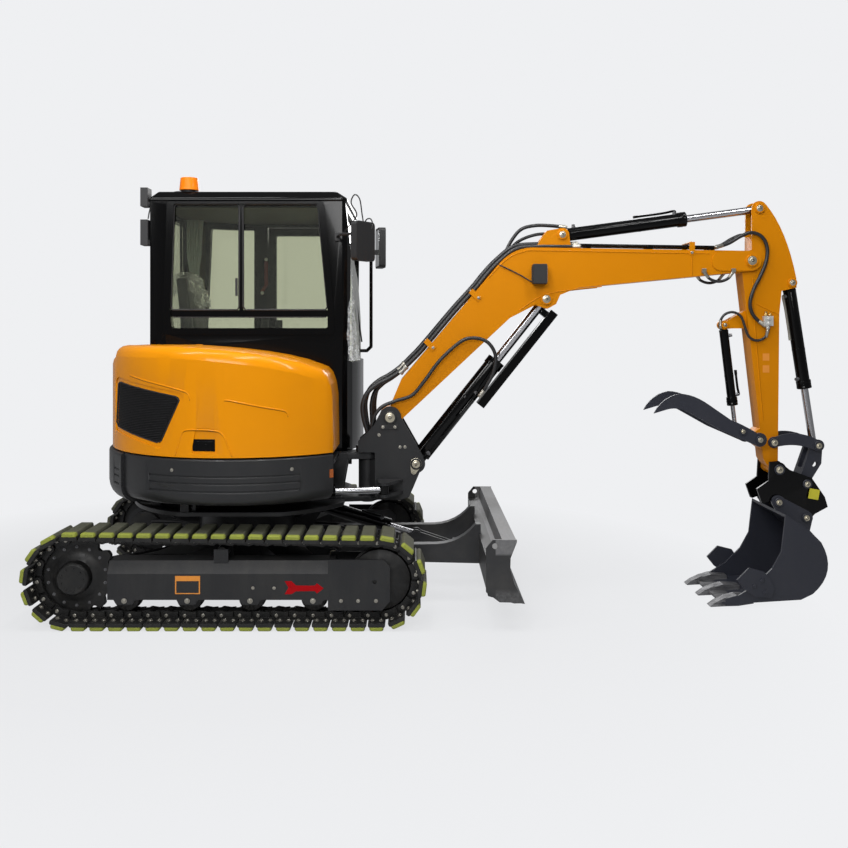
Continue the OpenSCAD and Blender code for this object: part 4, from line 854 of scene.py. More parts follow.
class EXCAVATOR_OT_shells(bpy.types.Operator):
    """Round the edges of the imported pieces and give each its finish"""

    bl_idname = "excavator.shells"
    bl_label = "Panels and steelwork"

    def execute(self, context):
        for node, material, edge, slot in SHELLS:
            softened(node, material, edge, slot)
        return {"FINISHED"}


# the track's chain: shoes, distance between its pins, teeth that it wraps, radius of its run round the idler,
# height of the lowest pins
SHOES = 46
PITCH = 101.6
TEETH = 13
FRONT_R = 200.0
SOLE = 57.0


def stood(x, z, c, n):
    """The matrix that stands a part at (x, z) with its z outwards, by the heading's cosine and sine."""
    return Matrix(((c, 0, n, x), (0, -1, 0, 0), (n, 0, -c, z), (0, 0, 0, 1)))


class Chain:
    """The run of a track chain in the plane of its track, in millimetres."""

    def __init__(self):
        low, high = box_mm("sprockets")
        self.rear_r = TEETH * PITCH / math.tau
        self.gap = (SHOES * PITCH - math.pi * (self.rear_r + FRONT_R)) / 2
        self.rear = ((low.x + high.x) / 2, SOLE + self.rear_r)
        self.front = (self.rear[0] + self.gap, SOLE + FRONT_R)
        self.slope = math.pi - 2 * math.atan((self.rear_r - FRONT_R) / self.gap)

    def place(self, s):
        """Place and heading at distance s from the sprocket's foot."""
        arc = FRONT_R * self.slope
        if s < self.gap:
            return self.rear[0] + s, SOLE, 0.0
        if s < self.gap + arc:
            a = (s - self.gap) / FRONT_R
            return self.front[0] + FRONT_R * math.sin(a), self.front[1] - FRONT_R * math.cos(a), a
        if s < 2 * self.gap + arc:
            u, a = s - self.gap - arc, self.slope
            return (self.front[0] + FRONT_R * math.sin(a) + u * math.cos(a),
                    self.front[1] - FRONT_R * math.cos(a) + u * math.sin(a), a)
        a = self.slope + (s - 2 * self.gap - arc) / self.rear_r
        return self.rear[0] + self.rear_r * math.sin(a), self.rear[1] - self.rear_r * math.cos(a), a

    def turn(self, s):
        """The matrix that stands a part with its z outwards on the chain."""
        x, z, a = self.place(s)
        return stood(x, z, math.cos(a), math.sin(a))

    def link_turn(self, i):
        """The same for the link between pin i and the next."""
        x0, z0, _ = self.place(i * PITCH)
        x1, z1, _ = self.place((i + 1) % SHOES * PITCH)
        span = math.hypot(x1 - x0, z1 - z0)
        return stood((x0 + x1) / 2, (z0 + z1) / 2, (x1 - x0) / span, (z1 - z0) / span)


class EXCAVATOR_OT_tracks(bpy.types.Operator):
    """Make the chains with their links, bushes, steel shoes and rubber pads"""

    bl_idname = "excavator.tracks"
    bl_label = "Tracks"

    def shoe(self):
        """A steel shoe with its four nuts."""
        part = Build()
        part.slab([(-47, 14), (-47, 29), (-42, 35), (42, 35), (47, 29), (47, 14)], -149, 149)
        part.slab([(-30, 6), (-30, 15), (30, 15), (30, 6)], -58, 58)
        part.tone = 1
        for u in (-24, 24):
            for y in (-92, 92):
                part.bolt((u, y, 14), (0, 0, -1), 9)
        return part

    def pad(self):
        """A rubber pad with rounded ends."""
        part = Build()
        profile = [(-40, 35), (-38, 50), (-32, 57), (32, 57), (38, 50), (40, 35)]
        # distance from the pad's middle, size of the section there
        ends = [(150, 0.80), (146, 0.93), (139, 1.0), (60, 1.0), (57, 0.985), (54, 1.0)]
        stations = [(-y, k) for y, k in ends] + [(y, k) for y, k in reversed(ends)]
        return part.loft([[(u * k, y, 35 + (v - 35) * k) for u, v in profile] for y, k in stations])

    def link(self):
        """A pair of link plates, stepped so that they pass the next pair's."""
        part = Build()
        half = PITCH / 2
        ahead = [(-14, -22), (14, -19), *arc(half, 0, 25, range(-90, 91, 18)), (14, 17), (-14, 17)]
        for side in (-1, 1):
            part.slab(ahead, side * 20, side * 34.5)
            part.slab([(-u, v) for u, v in ahead], side * 35.5, side * 50)
        return part

    def joint(self):
        """A pin with its bush."""
        part = Build()
        part.tone = 1
        part.turned((0, -54, 0), (0, 1, 0), [(0, 8), (2, 11), (106, 11), (108, 8)], 14)
        part.tone = 0
        return part.turned((0, -20.5, 0), (0, 1, 0), [(0, 18), (41, 18)], 16)

    def execute(self, context):
        chain = Chain()
        shoe, pad, link, joint = self.shoe(), self.pad(), self.link(), self.joint()
        for side in ("right", "left"):
            low, high = box_mm(f"track_{side}")
            steel, pads = Build(), Build()
            steel.turn = pads.turn = Matrix.Translation((0, (low.y + high.y) / 2, 0))
            for i in range(SHOES):
                steel.stamp(shoe, chain.turn((i + 0.5) * PITCH))
                steel.stamp(link, chain.link_turn(i))
                steel.stamp(joint, chain.turn(i * PITCH))
                pads.stamp(pad, chain.turn((i + 0.5) * PITCH))
            run = steel.piece(f"track_{side}_chain", "undercarriage", (chain_steel, bare_steel), "cast", 1.2, 30, 1)
            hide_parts(f"track_{side}")
            pads.piece(f"track_{side}_pads", "undercarriage", shoe_rubber, "shoe_rubber", 3.0, 40)
        return {"FINISHED"}


TRACK_ARROW = ((335, 262), (372, 262), (398, 238), (500, 237), (512, 250), (549, 222), (512, 194), (500, 207),
               (398, 206), (372, 190), (335, 190), (356, 226))
# bolts on a track frame's outer side: x, z, radius
FRAME_BOLTS = ((-546, 153, 10), (-200, 153, 10), (145, 153, 10), (490, 153, 10), (644, 153, 7), (738, 153, 7),
               (836, 153, 7), (161, 224, 6), (277, 224, 6))


class EXCAVATOR_OT_undercarriage(bpy.types.Operator):
    """Make the undercarriage's bolts, plates, travel arrows and hoses"""

    bl_idname = "excavator.undercarriage"
    bl_label = "Undercarriage fittings"

    def execute(self, context):
        chain = Chain()
        bolts, dark, arrows, plates, hoses, tabs = [Build() for _ in range(6)]
        face = box_mm("track_frames")[1].y
        for side in (-1, 1):
            out = (0, side, 0)
            for x, z, radius in FRAME_BOLTS:
                bolts.bolt((x, side * face, z), out, radius)
            # bolts of the sprocket's rim and, further out, of the motor's cover
            for tone, count, first, radius, deep in ((0, 14, 0.5, 163, 83), (1, 9, 0.0, 62, 3)):
                dark.tone = tone
                for x, z in arc(*chain.rear, radius, [360 * (i + first) / count for i in range(count)]):
                    dark.bolt((x, side * (face - deep), z), out, 6)
            # tabs of the frame's side plate over the roller shafts
            for x, z, _ in FRAME_BOLTS[:4]:
                tabs.slab([(x - 66, 168), (x + 66, 168), (x + 44, 132), (x - 44, 132)], side * (face - 0.4),
                          side * (face - 9))
            arrows.slab(TRACK_ARROW, side * (face - 1), side * (face + 0.8))
            # hoses to the travel motor, out of the chassis
            for k in (0, 1):
                hoses.cord([(-270, side * (150 + 30 * k), 330), (-400, side * (250 + 30 * k), 330),
                            (-560, side * (422 + 16 * k), 312 + 14 * k), (-690, side * 504, 300 + 20 * k),
                            (-776, side * 552, 290 + 20 * k), (-830, side * 594, 285 + 20 * k)],
                           10 * sizes().hoses, 12)
        # hoses of the blade's cylinder
        blade = Build()
        for k in (-1, 1):
            blade.cord([(300, 90 * k, 470), (352, 104 * k, 490), (410, 96 * k, 524), (470, 66 * k, 540),
                        (520, 36 * k, 540), (548, 24 * k, 532)], 8 * sizes().hoses, 12)
        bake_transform(blade.piece("blade_hoses", None, hose_rubber, "trim_black", smooth=60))
        # blank plate on the right frame: a dark field in orange
        plates.block((-266, -face - 0.8, 191), (-129, -face + 1, 290))
        plates.tone = 1
        plates.block((-259, -face - 1.6, 197), (-136, -face, 262))
        bolts.piece("undercarriage_bolts", "undercarriage", bare_steel, "rod_chrome")
        dark.piece("sprocket_bolts", "undercarriage", (worn_steel, chain_steel), "cast")
        tabs.piece("frame_tabs", "undercarriage", track_frame_paint, "frame_grey", 1.5)
        arrows.piece("travel_arrows", "undercarriage", arrow_red, "frame_grey")
        hoses.piece("undercarriage_hoses", "undercarriage", hose_rubber, "trim_black", smooth=60)
        plates.piece("blank_frame_plate", "undercarriage", (plate_orange, black_plastic), "frame_grey")
        return {"FINISHED"}


# radii of the house's sides and of its counterweight, heights of the pressed grooves' lower lips
HOUSE_R = 832.0
TAIL_R = 850.0
GROOVES = (745, 789, 827)
# corners of the grille's opening, as (x, z)
GRILLE = ((-690, 1340), (-240, 1268), (-365, 1010), (-715, 1080))
# pressed lines of the hood, as lists of (x, z)
HOOD_LINES = (
    ((-590, 1384), (-480, 1360), (-330, 1330), (-236, 1308), (-196, 1292), (-182, 1255)),
    ((4, 1258), (60, 1250), (190, 1222), (300, 1200), (336, 1188), (348, 1160)),
    ((-272, 946), (-250, 1010), (-232, 1066), (-206, 1090), (-110, 1094), (-34, 1088), (2, 1066), (30, 1010),
     (54, 946)),
)


def on_house(x, z, out=0.0):
    """A point on the right side of the hood, out beyond its skin."""
    radius = HOUSE_R - 2 + out
    return x, -math.sqrt(radius * radius - x * x), z


def grille_edge(z):
    """The grille opening's left and right x at height z."""
    crossings = []
    for (x0, z0), (x1, z1) in zip(GRILLE, GRILLE[1:] + GRILLE[:1]):
        if min(z0, z1) <= z < max(z0, z1):
            crossings.append(x0 + (x1 - x0) * (z - z0) / (z1 - z0))
    return min(crossings), max(crossings)


class EXCAVATOR_OT_house(bpy.types.Operator):
    """Make the hood's grille, latch and pressed lines, and the skirts' bolts, lips and reflectors"""

    bl_idname = "excavator.house"
    bl_label = "Hood and skirts"

    def grille(self):
        """Fine louvres over a dark screen, on the curve of the hood."""
        part = Build()
        lowest, highest, pitch = 1024.0, 1332, 9.5
        z = lowest
        while z < highest:
            x0, x1 = grille_edge(z)
            x0, x1 = x0 + 12, x1 - 12
            if x1 - x0 > 40:
                part.loft([[on_house(x, z, -16), on_house(x, z + 2.5, -16), on_house(x, z - 1.5, -5),
                            on_house(x, z - 4, -5)] for x in spread(x0, x1, 10)])
            z += pitch
        # a dark screen behind the louvres, its holes painted near-black as the shade behind them
        part.tone = 1
        rings = []
        for z in range(1014, 1335, 32):
            x0, x1 = grille_edge(z)
            spots = spread(x0 + 1, x1 - 1, 10)
            rings.append([on_house(x, z, -20) for x in spots] + [on_house(x, z, -26) for x in reversed(spots)])
        part.loft(rings)
        part.tone = 2
        part.tube([on_house(p.x, p.y, -7) for p in outline(GRILLE, (0.06, 0.2, 0.4, 0.6, 0.8, 0.94))], 4.5, 8)
        grille = part.piece("hood_louvres", "hood", (black_plastic, mesh_black, black_plastic), "trim_black")
        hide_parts("hood_grille")

    def execute(self, context):
        self.grille()
        lines = Build()
        for points in HOOD_LINES:
            route = smooth_line([(x, 0, z) for x, z in points], 6)
            radii = [0.6] + [4.6] * (len(route) - 2) + [0.6]
            lines.tone = 0
            lines.tube([on_house(p.x, p.z, -1.4) for p in route], radii, 10)
            # a thin tube of darker yellow just under each line: painted shade in the crease
            lines.tone = 1
            lines.tube([on_house(p.x, p.z - 5.5, -0.9) for p in route], [r * 0.42 for r in radii], 6)
        lines.piece("hood_pressings", "hood", (hood_paint, crease_paint), "body_yellow", smooth=70)
        latch = Build()
        for grow, out in ((0, -4), (-12, -1)):
            latch.loft([[on_house(x, 976 - grow, out - 6), on_house(x, 976 - grow, out), on_house(x, 1042 + grow, out),
                         on_house(x, 1042 + grow, out - 6)] for x in spread(-168 - grow, -42 + grow, 6)])
        for spot in (-132, -92):
            latch.turned(on_house(spot, 1009, -2), (spot / HOUSE_R, -1, 0), [(0, 9), (4, 8)], 14)
        latch.piece("hood_latch", "hood", gloss_black, "trim_black", 5.0, segments=3)
        bolts = Build()
        for x in (-290, 367):
            bolts.bolt(on_house(x, 868, 1), (x / HOUSE_R, -0.95, 0), 7)
        bolts.piece("skirt_bolts", "house", bare_steel, "rod_chrome")
        # the lower lips of the pressed grooves are rounded, and sit just inside the skin
        lips = Build()
        for radius, first, last in ((HOUSE_R, 239, 299), (TAIL_R, 214, 218.6), (TAIL_R, 141.4, 146)):
            for z in GROOVES:
                lips.tube([(x, y, z + 1) for x, y in arc(0, 0, radius - 5.6, spread(first, last, 24))], 5.4, 10)
        lips.piece("skirt_lips", "house", frame_paint, "frame_grey", smooth=70)
        lights = Build()
        for x, y, z, turn in ((-848.5, -60, 930, 4), (-848.5, 60, 930, -4), (574, -606, 822, 125)):
            lights.turn = placed((x, y, z), turn, "Z")
            lights.block((-1.2, -12, -24), (2, 12, 24))
        lights.piece("reflectors", "house", reflector_amber, "lamp_shell", 1.0)
        return {"FINISHED"}


# the middle plane of the boom, and of the blade's two arms on either side of the machine's own
BOOM_Y = -150.0
BLADE_ARMS = (280, -280)
# pins: body, x, z, half length to the outer face, radius
PINS = (
    ("bracket", 898, 1107, 110, 30), ("bracket", 1056, 824, 110, 25), ("boom", 3109, 2064, 91, 28),
    ("boom", 1854, 1829, 84, 25), ("boom", 1955, 2225, 69, 20), ("arm", 3268, 790, 112.3, 22),
    ("arm", 3246, 952, 90.3, 20), ("arm", 3365, 1930, 69, 18), ("arm", 3140, 974, 142.3, 16),
    ("arm", 2960, 1671, 43, 12), ("arm", 3164, 2386, 69, 20), ("guide_links", 3518, 933, 89, 18),
    ("bucket", 3438, 702, 111, 18), ("bucket", 3256, 595, 135, 18), ("bucket", 3423, 501, 135, 18),
    ("thumb", 3037, 1025, 138, 13), ("undercarriage", 560, 300, 61, 22),
)


class EXCAVATOR_OT_pins(bpy.types.Operator):
    """Cap every pin with its plated ring, nut and grease nipple"""

    bl_idname = "excavator.pins"
    bl_label = "Pin caps"

    def execute(self, context):
        caps = {}
        for body, x, z, half, radius in PINS:
            part = caps.setdefault(body, Build())
            for middle in BLADE_ARMS if body == "undercarriage" else (BOOM_Y,):
                for side in (-1, 1):
                    # a raised ring in the colour of the link, a plated washer, its nut, and on the nut a near-black
                    # disc that is painted shade of its recess
                    low_on_arm = body == "arm" and z < 1200
                    for tone, sides, profile in (
                            (2 if low_on_arm else 1, 32, [(-9, radius + 9.6), (0.5, radius + 9.6), (2.5, radius + 7.5),
                                                          (2.5, radius + 2), (0.2, radius + 1)]),
                            (0, 28, [(0, radius * 0.98), (1.8, radius * 0.98), (2.8, radius * 0.88)]),
                            (0, 6, [(2, radius * 0.66), (8.5, radius * 0.66), (10, radius * 0.54)]),
                            (3, 16, [(9, radius * 0.34), (10.2, radius * 0.34)]),
                            (0, 10, [(9, radius * 0.16), (11.5, radius * 0.16), (12.5, radius * 0.1)])):
                        part.tone = tone
                        part.turned((x, middle + side * half, z), (0, side, 0), profile, sides)
        rings = {"boom": boom_paint, "arm": boom_paint, "bracket": frame_paint, "undercarriage": track_frame_paint}
        for body, part in caps.items():
            part.piece(f"{body}_pin_caps", body, (zinc, rings.get(body, tool_paint), tool_paint, mesh_black),
                       "rod_chrome")
        return {"FINISHED"}


# cylinders: body of the barrel, foot and eye as (x, y, z), radii of barrel and rod, the barrel's length and start,
# and how far its pipe is turned from the top to the machine's right, in degrees
CYLINDERS = (
    ("boom_barrel", (1056, BOOM_Y, 824), (1854, BOOM_Y, 1829), 52, 28, 803, 60, 112),
    ("arm_barrel", (1955, BOOM_Y, 2225), (3164, BOOM_Y, 2386), 40, 23, 777, 48, 10),
    ("bucket_barrel", (3365, BOOM_Y, 1930), (3518, BOOM_Y, 933), 38, 22, 658, 44, 20),
    ("thumb_barrel", (2960, BOOM_Y, 1671), (3037, BOOM_Y, 1025), 27, 13, 500, 34, 20),
    ("blade_barrel", (440, 0, 530), (1056, 0, 341), 42, 22, 470, 44, 30),
)


class EXCAVATOR_OT_cylinders(bpy.types.Operator):
    """Make the cylinders' gland nuts, bands, ports and steel pipes"""

    bl_idname = "excavator.cylinders"
    bl_label = "Cylinders"

    def execute(self, context):
        for body, foot, eye, radius, rod, length, start, turn in CYLINDERS:
            foot = Vector(foot)
            ahead = (Vector(eye) - foot).normalized()
            end = foot + ahead * length
            on_front = body == "bucket_barrel"
            back = Vector((ahead.z, 0, -ahead.x)) if on_front else Vector((-ahead.z, 0, ahead.x))
            back = back * math.cos(math.radians(turn)) + Vector((0, -1, 0)) * math.sin(math.radians(turn))
            part = Build()
            # gland nut with its six screws
            out = radius + 5
            part.collar(end, ahead, [(-47, radius - 1), (-46, out + 0.9), (-36, out + 0.9), (-35, out + 0.2),
                                     (-12, out + 0.2), (-11, out + 0.8), (-1, out + 0.8), (1.5, out - 3),
                                     (1.5, rod + 4), (-4, rod + 3), (-12, radius - 1)], 32)
            for i in range(6):
                a = math.tau * i / 6
                spot = end - ahead * 24 + (back * math.cos(a) + Vector((0, 1, 0)) * math.sin(a)) * out
                part.turned(spot, spot - end + ahead * 24, [(-4, 6), (1.0, 6), (1.2, 5)], 12)
            part.collar(foot + ahead * start, ahead, [(-4, radius * 0.8), (-3, radius + 1), (6, radius + 1),
                                                      (8, radius - 1)], 32)
            # ports at both ends, and the steel pipe between them; the boom's lugs pass the end of its own
            # cylinder, so the port there lies further back
            part.tone = 1
            near = foot + ahead * (start + 34)
            far = end - ahead * (238 if body == "boom_barrel" else 64)
            rise = back * (radius + 14)
            for spot in (near, far):
                part.turned(spot, back, [(radius - 3, 13), (radius + 8, 13), (radius + 9, 11), (radius + 20, 10)], 6)
            first, last = (near, near.lerp(far, 0.52)) if on_front else (far, far.lerp(near, 0.40))
            part.tone = 2 if on_front else 0
            part.cord([first + rise * 0.7, first + rise * 1.08, first.lerp(last, 0.3) + rise, last + rise], 7.5, 10, 5)
            part.turned(last + rise, first - last, [(-4, 9), (24, 9), (25, 7)], 6)
            part.tone = 0
            part.collar(foot + ahead * (length * 0.62), ahead, [(0, radius - 1), (0, radius + 0.9),
                                                                (14, radius + 0.9), (14, radius - 1)], 28)
            part.piece(f"{body}_fittings", body, (gloss_black, worn_steel, bare_steel), "gloss_black", 0.8)
        return {"FINISHED"}


# weld beads on both sides of the boom, as lists of (x, z)
BOOM_WELDS = (
    ((1500, 1958), (1568, 2034), (1640, 2092), (1720, 2121), (1800, 2127), (2300, 2118), (2860, 2108)),
    ((1690, 1762), (1790, 1830), (1890, 1868), (2061, 1893), (2200, 1907)),
    ((2745, 1965), (2745, 2108)),
)


class EXCAVATOR_OT_boom_details(bpy.types.Operator):
    """Make the welds of boom and arm, clamps, the lamp's fittings, plates, the valve block and the pins' keepers"""

    bl_idname = "excavator.boom_details"
    bl_label = "Boom and arm fittings"

    def weld(self, part, points, y):
        """A bead with the ripple of its passes."""
        radius, ripple = 3.6, 7
        route = smooth_line([(x, y, z) for x, z in points], 4)
        line = []
        for a, b in zip(route, route[1:]):
            steps = max(2, round((b - a).length / ripple))
            line += [a.lerp(b, i / steps) for i in range(steps)]
        part.tube(line, [radius * (0.92 + 0.16 * (i % 2)) for i in range(len(line))], 6)

    def execute(self, context):
        welds, clamps = Build(), Build()
        for side in (-1, 1):
            for points in BOOM_WELDS:
                self.weld(welds, points, BOOM_Y + side * 75)
        welds.piece("boom_welds", "boom", boom_paint, "boom_yellow", smooth=60)
        for x, z, angle in ((1424, 1850, 48), (1146, 1546, 46), (2745, 2134, -1)):
            clamps.turn = placed((x, BOOM_Y, z), -angle, "Y")
            clamps.block((-17, -76, 38), (17, 76, 45))
            for y in (-77, 77):
                clamps.block((-17, y - 3, -34), (17, y + 3, 45))
            clamps.tone = 1
            for y in (-50, 0, 50):
                clamps.bolt((0, y, 45), (0, 0, 1), 6)
            for y in (-80, 80):
                clamps.bolt((0, y, -20), (0, y, 0), 6)
            clamps.tone = 0
        clamps.piece("hose_clamps", "boom", (boom_paint, bare_steel), "boom_yellow", 1.2)

        lamp = Build()
        low, high = box_mm("boom_lamp")
        lamp.cord([(1560, -222, 2040), (1592, -229, 2026), (1690, -230, 1978), (1752, -236, 1940), (1790, -246, 1926),
                   ((low.x + high.x) / 2 - 10, -258, low.z + 12)], 4)
        lamp.tone = 1
        lamp.block((high.x - 2, low.y + 8, low.z + 12), (high.x + 2, high.y - 8, high.z - 12))
        lamp.tone = 0
        for i in range(6):
            lamp.block((low.x - 3, low.y + 9 + i * 10, low.z + 14), (low.x + 3, low.y + 12 + i * 10, high.z - 14))
        lamp.piece("boom_lamp_fittings", "boom", (black_plastic, lamp_glass), "lamp_shell", 0.8)

        arm = Build()
        for side in (-1, 1):
            self.weld(arm, ((3122, 1960), (3135, 1700), (3158, 1400), (3186, 1080)), BOOM_Y + side * 60)
            self.weld(arm, ((3147, 1799), (3288, 1732)), BOOM_Y + side * 60)
        arm.piece("arm_welds", "arm", boom_paint, "boom_yellow", smooth=60)
        plates = Build()
        for z in (1474, 1401):
            plates.block((3184, BOOM_Y - 61.2, z - 22), (3224, BOOM_Y - 59, z + 22))
        plates.piece("arm_plates", "arm", plate_orange, "boom_yellow")
        valve = Build()
        valve.block((3181, -247, 1665), (3236, -209, 1725))
        for tone, place, axis, profile in (
                (0, (3208, -247, 1680), (0, -1, 0), [(-1, 12), (6, 12), (8, 10)]),
                (0, (3208, -247, 1710), (0, -1, 0), [(-1, 12), (6, 12), (8, 10)]),
                (0, (3208, -228, 1664), (0, 0, -1), [(0, 13), (14, 13), (16, 9), (26, 9)]),
                (1, (3196, -228, 1725), (0, 0, 1), [(0, 12), (12, 12), (14, 9), (28, 9)]),
                (1, (3222, -228, 1725), (0, 0, 1), [(0, 9), (10, 9), (12, 7), (20, 7)])):
            valve.tone = tone
            valve.turned(place, axis, profile, 6)
        valve.piece("valve_block", "arm", (cast_alloy, brass), "rod_chrome", 1.5)

        bracket, plates = Build(), Build()
        for side in (-1, 1):
            skin = BOOM_Y + side * 101
            plates.block((838, skin, 1037), (946, skin + side * 7, 1061))
            plates.slab([(878, 1110), (918, 1110), (914, 1050), (882, 1050)], skin, skin + side * 8)
            # drop-shaped keeper of the boom cylinder's pin
            plates.tone = 1
            plates.slab([*arc(1056, 824, 36, range(-20, 191, 15)), (1026, 770), (1040, 758), (1054, 764)], skin,
                        skin + side * 6)
            plates.turned((1040, skin + side * 6, 774), (0, side, 0), [(-1, 7), (5, 7), (6, 5)], 6)
            plates.tone = 0
            for x, z in ((855, 1049), (928, 1049), (831, 1000), (959, 927), (989, 927)):
                bracket.bolt((x, BOOM_Y + side * (108 if z > 1040 else 101), z), (0, side, 0), 6.5)
        plates.piece("pin_keepers", "bracket", (frame_paint, zinc), "frame_grey", 1.5)
        bracket.piece("bracket_bolts", "bracket", bare_steel, "rod_chrome")
        return {"FINISHED"}


# middle line of the hoses from the bracket up the boom, as (x, z, how far each next hose lies to the front)
BUNDLE = ((769, 944, 10), (758, 1010, 14), (734, 1100, 24), (729, 1180, 26), (757, 1254, 22), (820, 1308, 15),
          (892, 1344, 7), (962, 1390, 2), (1030, 1452, 0), (1104, 1530, 0), (1296, 1757, 0), (1420, 1894, 0),
          (1488, 1978, 0), (1564, 2058, 0), (1664, 2134, 0), (1790, 2152, 0), (2062, 2152, 0))


# from the boom's end to the arm, and under the boom's end, as (x, z)
TIP_HOSE = ((2890, 2146), (2968, 2170), (3044, 2214), (3110, 2236), (3172, 2210), (3203, 2148), (3200, 2070),
            (3168, 1982), (3122, 1890), (3100, 1812), (3110, 1748), (3146, 1700), (3190, 1668))
TIP_LOOP = ((2814, 1996), (2849, 1953), (2904, 1936), (2959, 1953), (2994, 1996))
# hoses: name, body, radius, points, and for one that would bend the other body and the points between which it would
# bend; such a hose is put on no body and is not made to bend
HOSES = (
    ("boom_cylinder_hose", "bracket", 11,
     ((792, -200, 950), (785, -208, 985), (785, -228, 1050), (804, -238, 1118), (850, -240, 1172), (928, -244, 1206),
      (1032, -252, 1243), (1111, -256, 1335), (1203, -256, 1457), (1325, -256, 1567), (1404, -256, 1591),
      (1490, -256, 1567), (1539, -256, 1487), (1527, -254, 1383), (1478, -244, 1286), (1446, -226, 1236)),
     ("boom_barrel", (1032, -238, 1243), (1430, -236, 1240))),
    ("arm_cylinder_hose", "boom", 11,
     ((1596, -104, 2080), (1648, -100, 2190), (1712, -104, 2268), (1800, -112, 2292), (1900, -118, 2290),
      (1990, -124, 2280)), None),
    ("arm_cylinder_far_hose", "boom", 10,
     ((1600, -84, 2090), (1690, -80, 2190), (1800, -86, 2236), (1900, -92, 2240), (1968, -98, 2214)), None),
    *((f"tip_hose_{k}", "boom", 11, [(x, y, z) for x, z in TIP_HOSE], ("arm", (2990, y, 2188), (3190, y, 2040)))
      for k, y in enumerate((-228, -74))),
    ("thumb_hose", "arm", 8,
     ((3208, -228, 1640), (3199, -228, 1608), (3176, -228, 1585), (3144, -227, 1576), (3112, -225, 1585),
      (3089, -222, 1608), (3072, -216, 1660), (3056, -210, 1713), (3035, -205, 1738), (2998, -198, 1750),
      (2961, -191, 1738), (2940, -186, 1713), (2934, -182, 1686), (2935, -180, 1656)), None),
    *((f"tip_loop_{-y}", "boom", 9, [(x, y, z) for x, z in TIP_LOOP], None) for y in (-238, -62)),
)


class EXCAVATOR_OT_hoses(bpy.types.Operator):
    """Make the hydraulic hoses with their ferrules"""

    bl_idname = "excavator.hoses"
    bl_label = "Hoses"

    def hose(self, name, body, radius, points, onto):
        """A hose through points, with a steel ferrule at each end.

        Onto names the other body of a hose that would bend, and the two points between which it would bend; only
        whether it is given is read: such a hose rides on no body, and nothing here makes it bend."""
        radius *= sizes().hoses
        part = Build()
        line = smooth_line(points, 8)
        part.tube(line, radius, 12)
        part.tone = 1
        for tip, inner in (line[:2], line[:-3:-1]):
            part.turned(tip, inner - tip, [(-8, radius * 0.7), (-4, radius * 1.25), (12, radius * 1.25),
                                           (14, radius * 1.15), (44, radius * 1.15), (46, radius)], 12)
        piece = part.piece(name, None if onto else body, (hose_rubber, bare_steel), "trim_black", smooth=50)
        if onto:
            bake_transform(piece)

    def execute(self, context):
        joints = Build()
        along = Vector((158, 0, 168)).normalized()
        for k in range(4):
            y = BOOM_Y - 51 + 34 * k
            rise = 18 if k % 2 else 0
            self.hose(f"boom_hose_{k}", "bracket", 14,
                      [(x + k * fan - rise * 0.6, y, z + rise) for x, z, fan in BUNDLE],
                      ("boom", (738, y, 1110), (946, y, 1362)))
            foot = Vector((946 - (11 if k % 2 else 0), y, 1362 + rise))
            joints.turned(foot + along * 16, along, [(0, 14.5), (1, 18), (16, 18), (17, 15.5), (46, 15.5), (47, 18),
                                                     (60, 18), (61, 14.5)], 16)
        joints.piece("boom_hose_joints", "boom", bare_steel, "rod_chrome")
        for row in HOSES:
            self.hose(*row)
        ports = Build()
        for low, high in ((-251, -224), (-76, -49)):
            for x in (2814, 2994):
                ports.block((x - 12, low, 1990), (x + 12, high, 2016))
        ports.piece("tip_loop_ports", "boom", bare_steel, "rod_chrome", 2.0)
        return {"FINISHED"}


# radius of the mirror glasses' corners
CORNER = 14
# wires of the front lamp, its plug, the beacon and the rear lamps
WIRES = (
    ((596, -168, 2230), (640, -270, 2262), (700, -330, 2330), (668, -352, 2400), (690, -372, 2446), (720, -366, 2420),
     (734, -362, 2330), (744, -366, 2268)),
    ((742, -352, 2262), (760, -352, 2300), (784, -356, 2304), (796, -362, 2276), (790, -372, 2240)),
    ((-588, -40, 2440), (-560, -38, 2470), (-470, -60, 2508), (-400, -74, 2508)),
    ((-606, -150, 2330), (-600, -140, 2380), (-588, -120, 2440)),
)


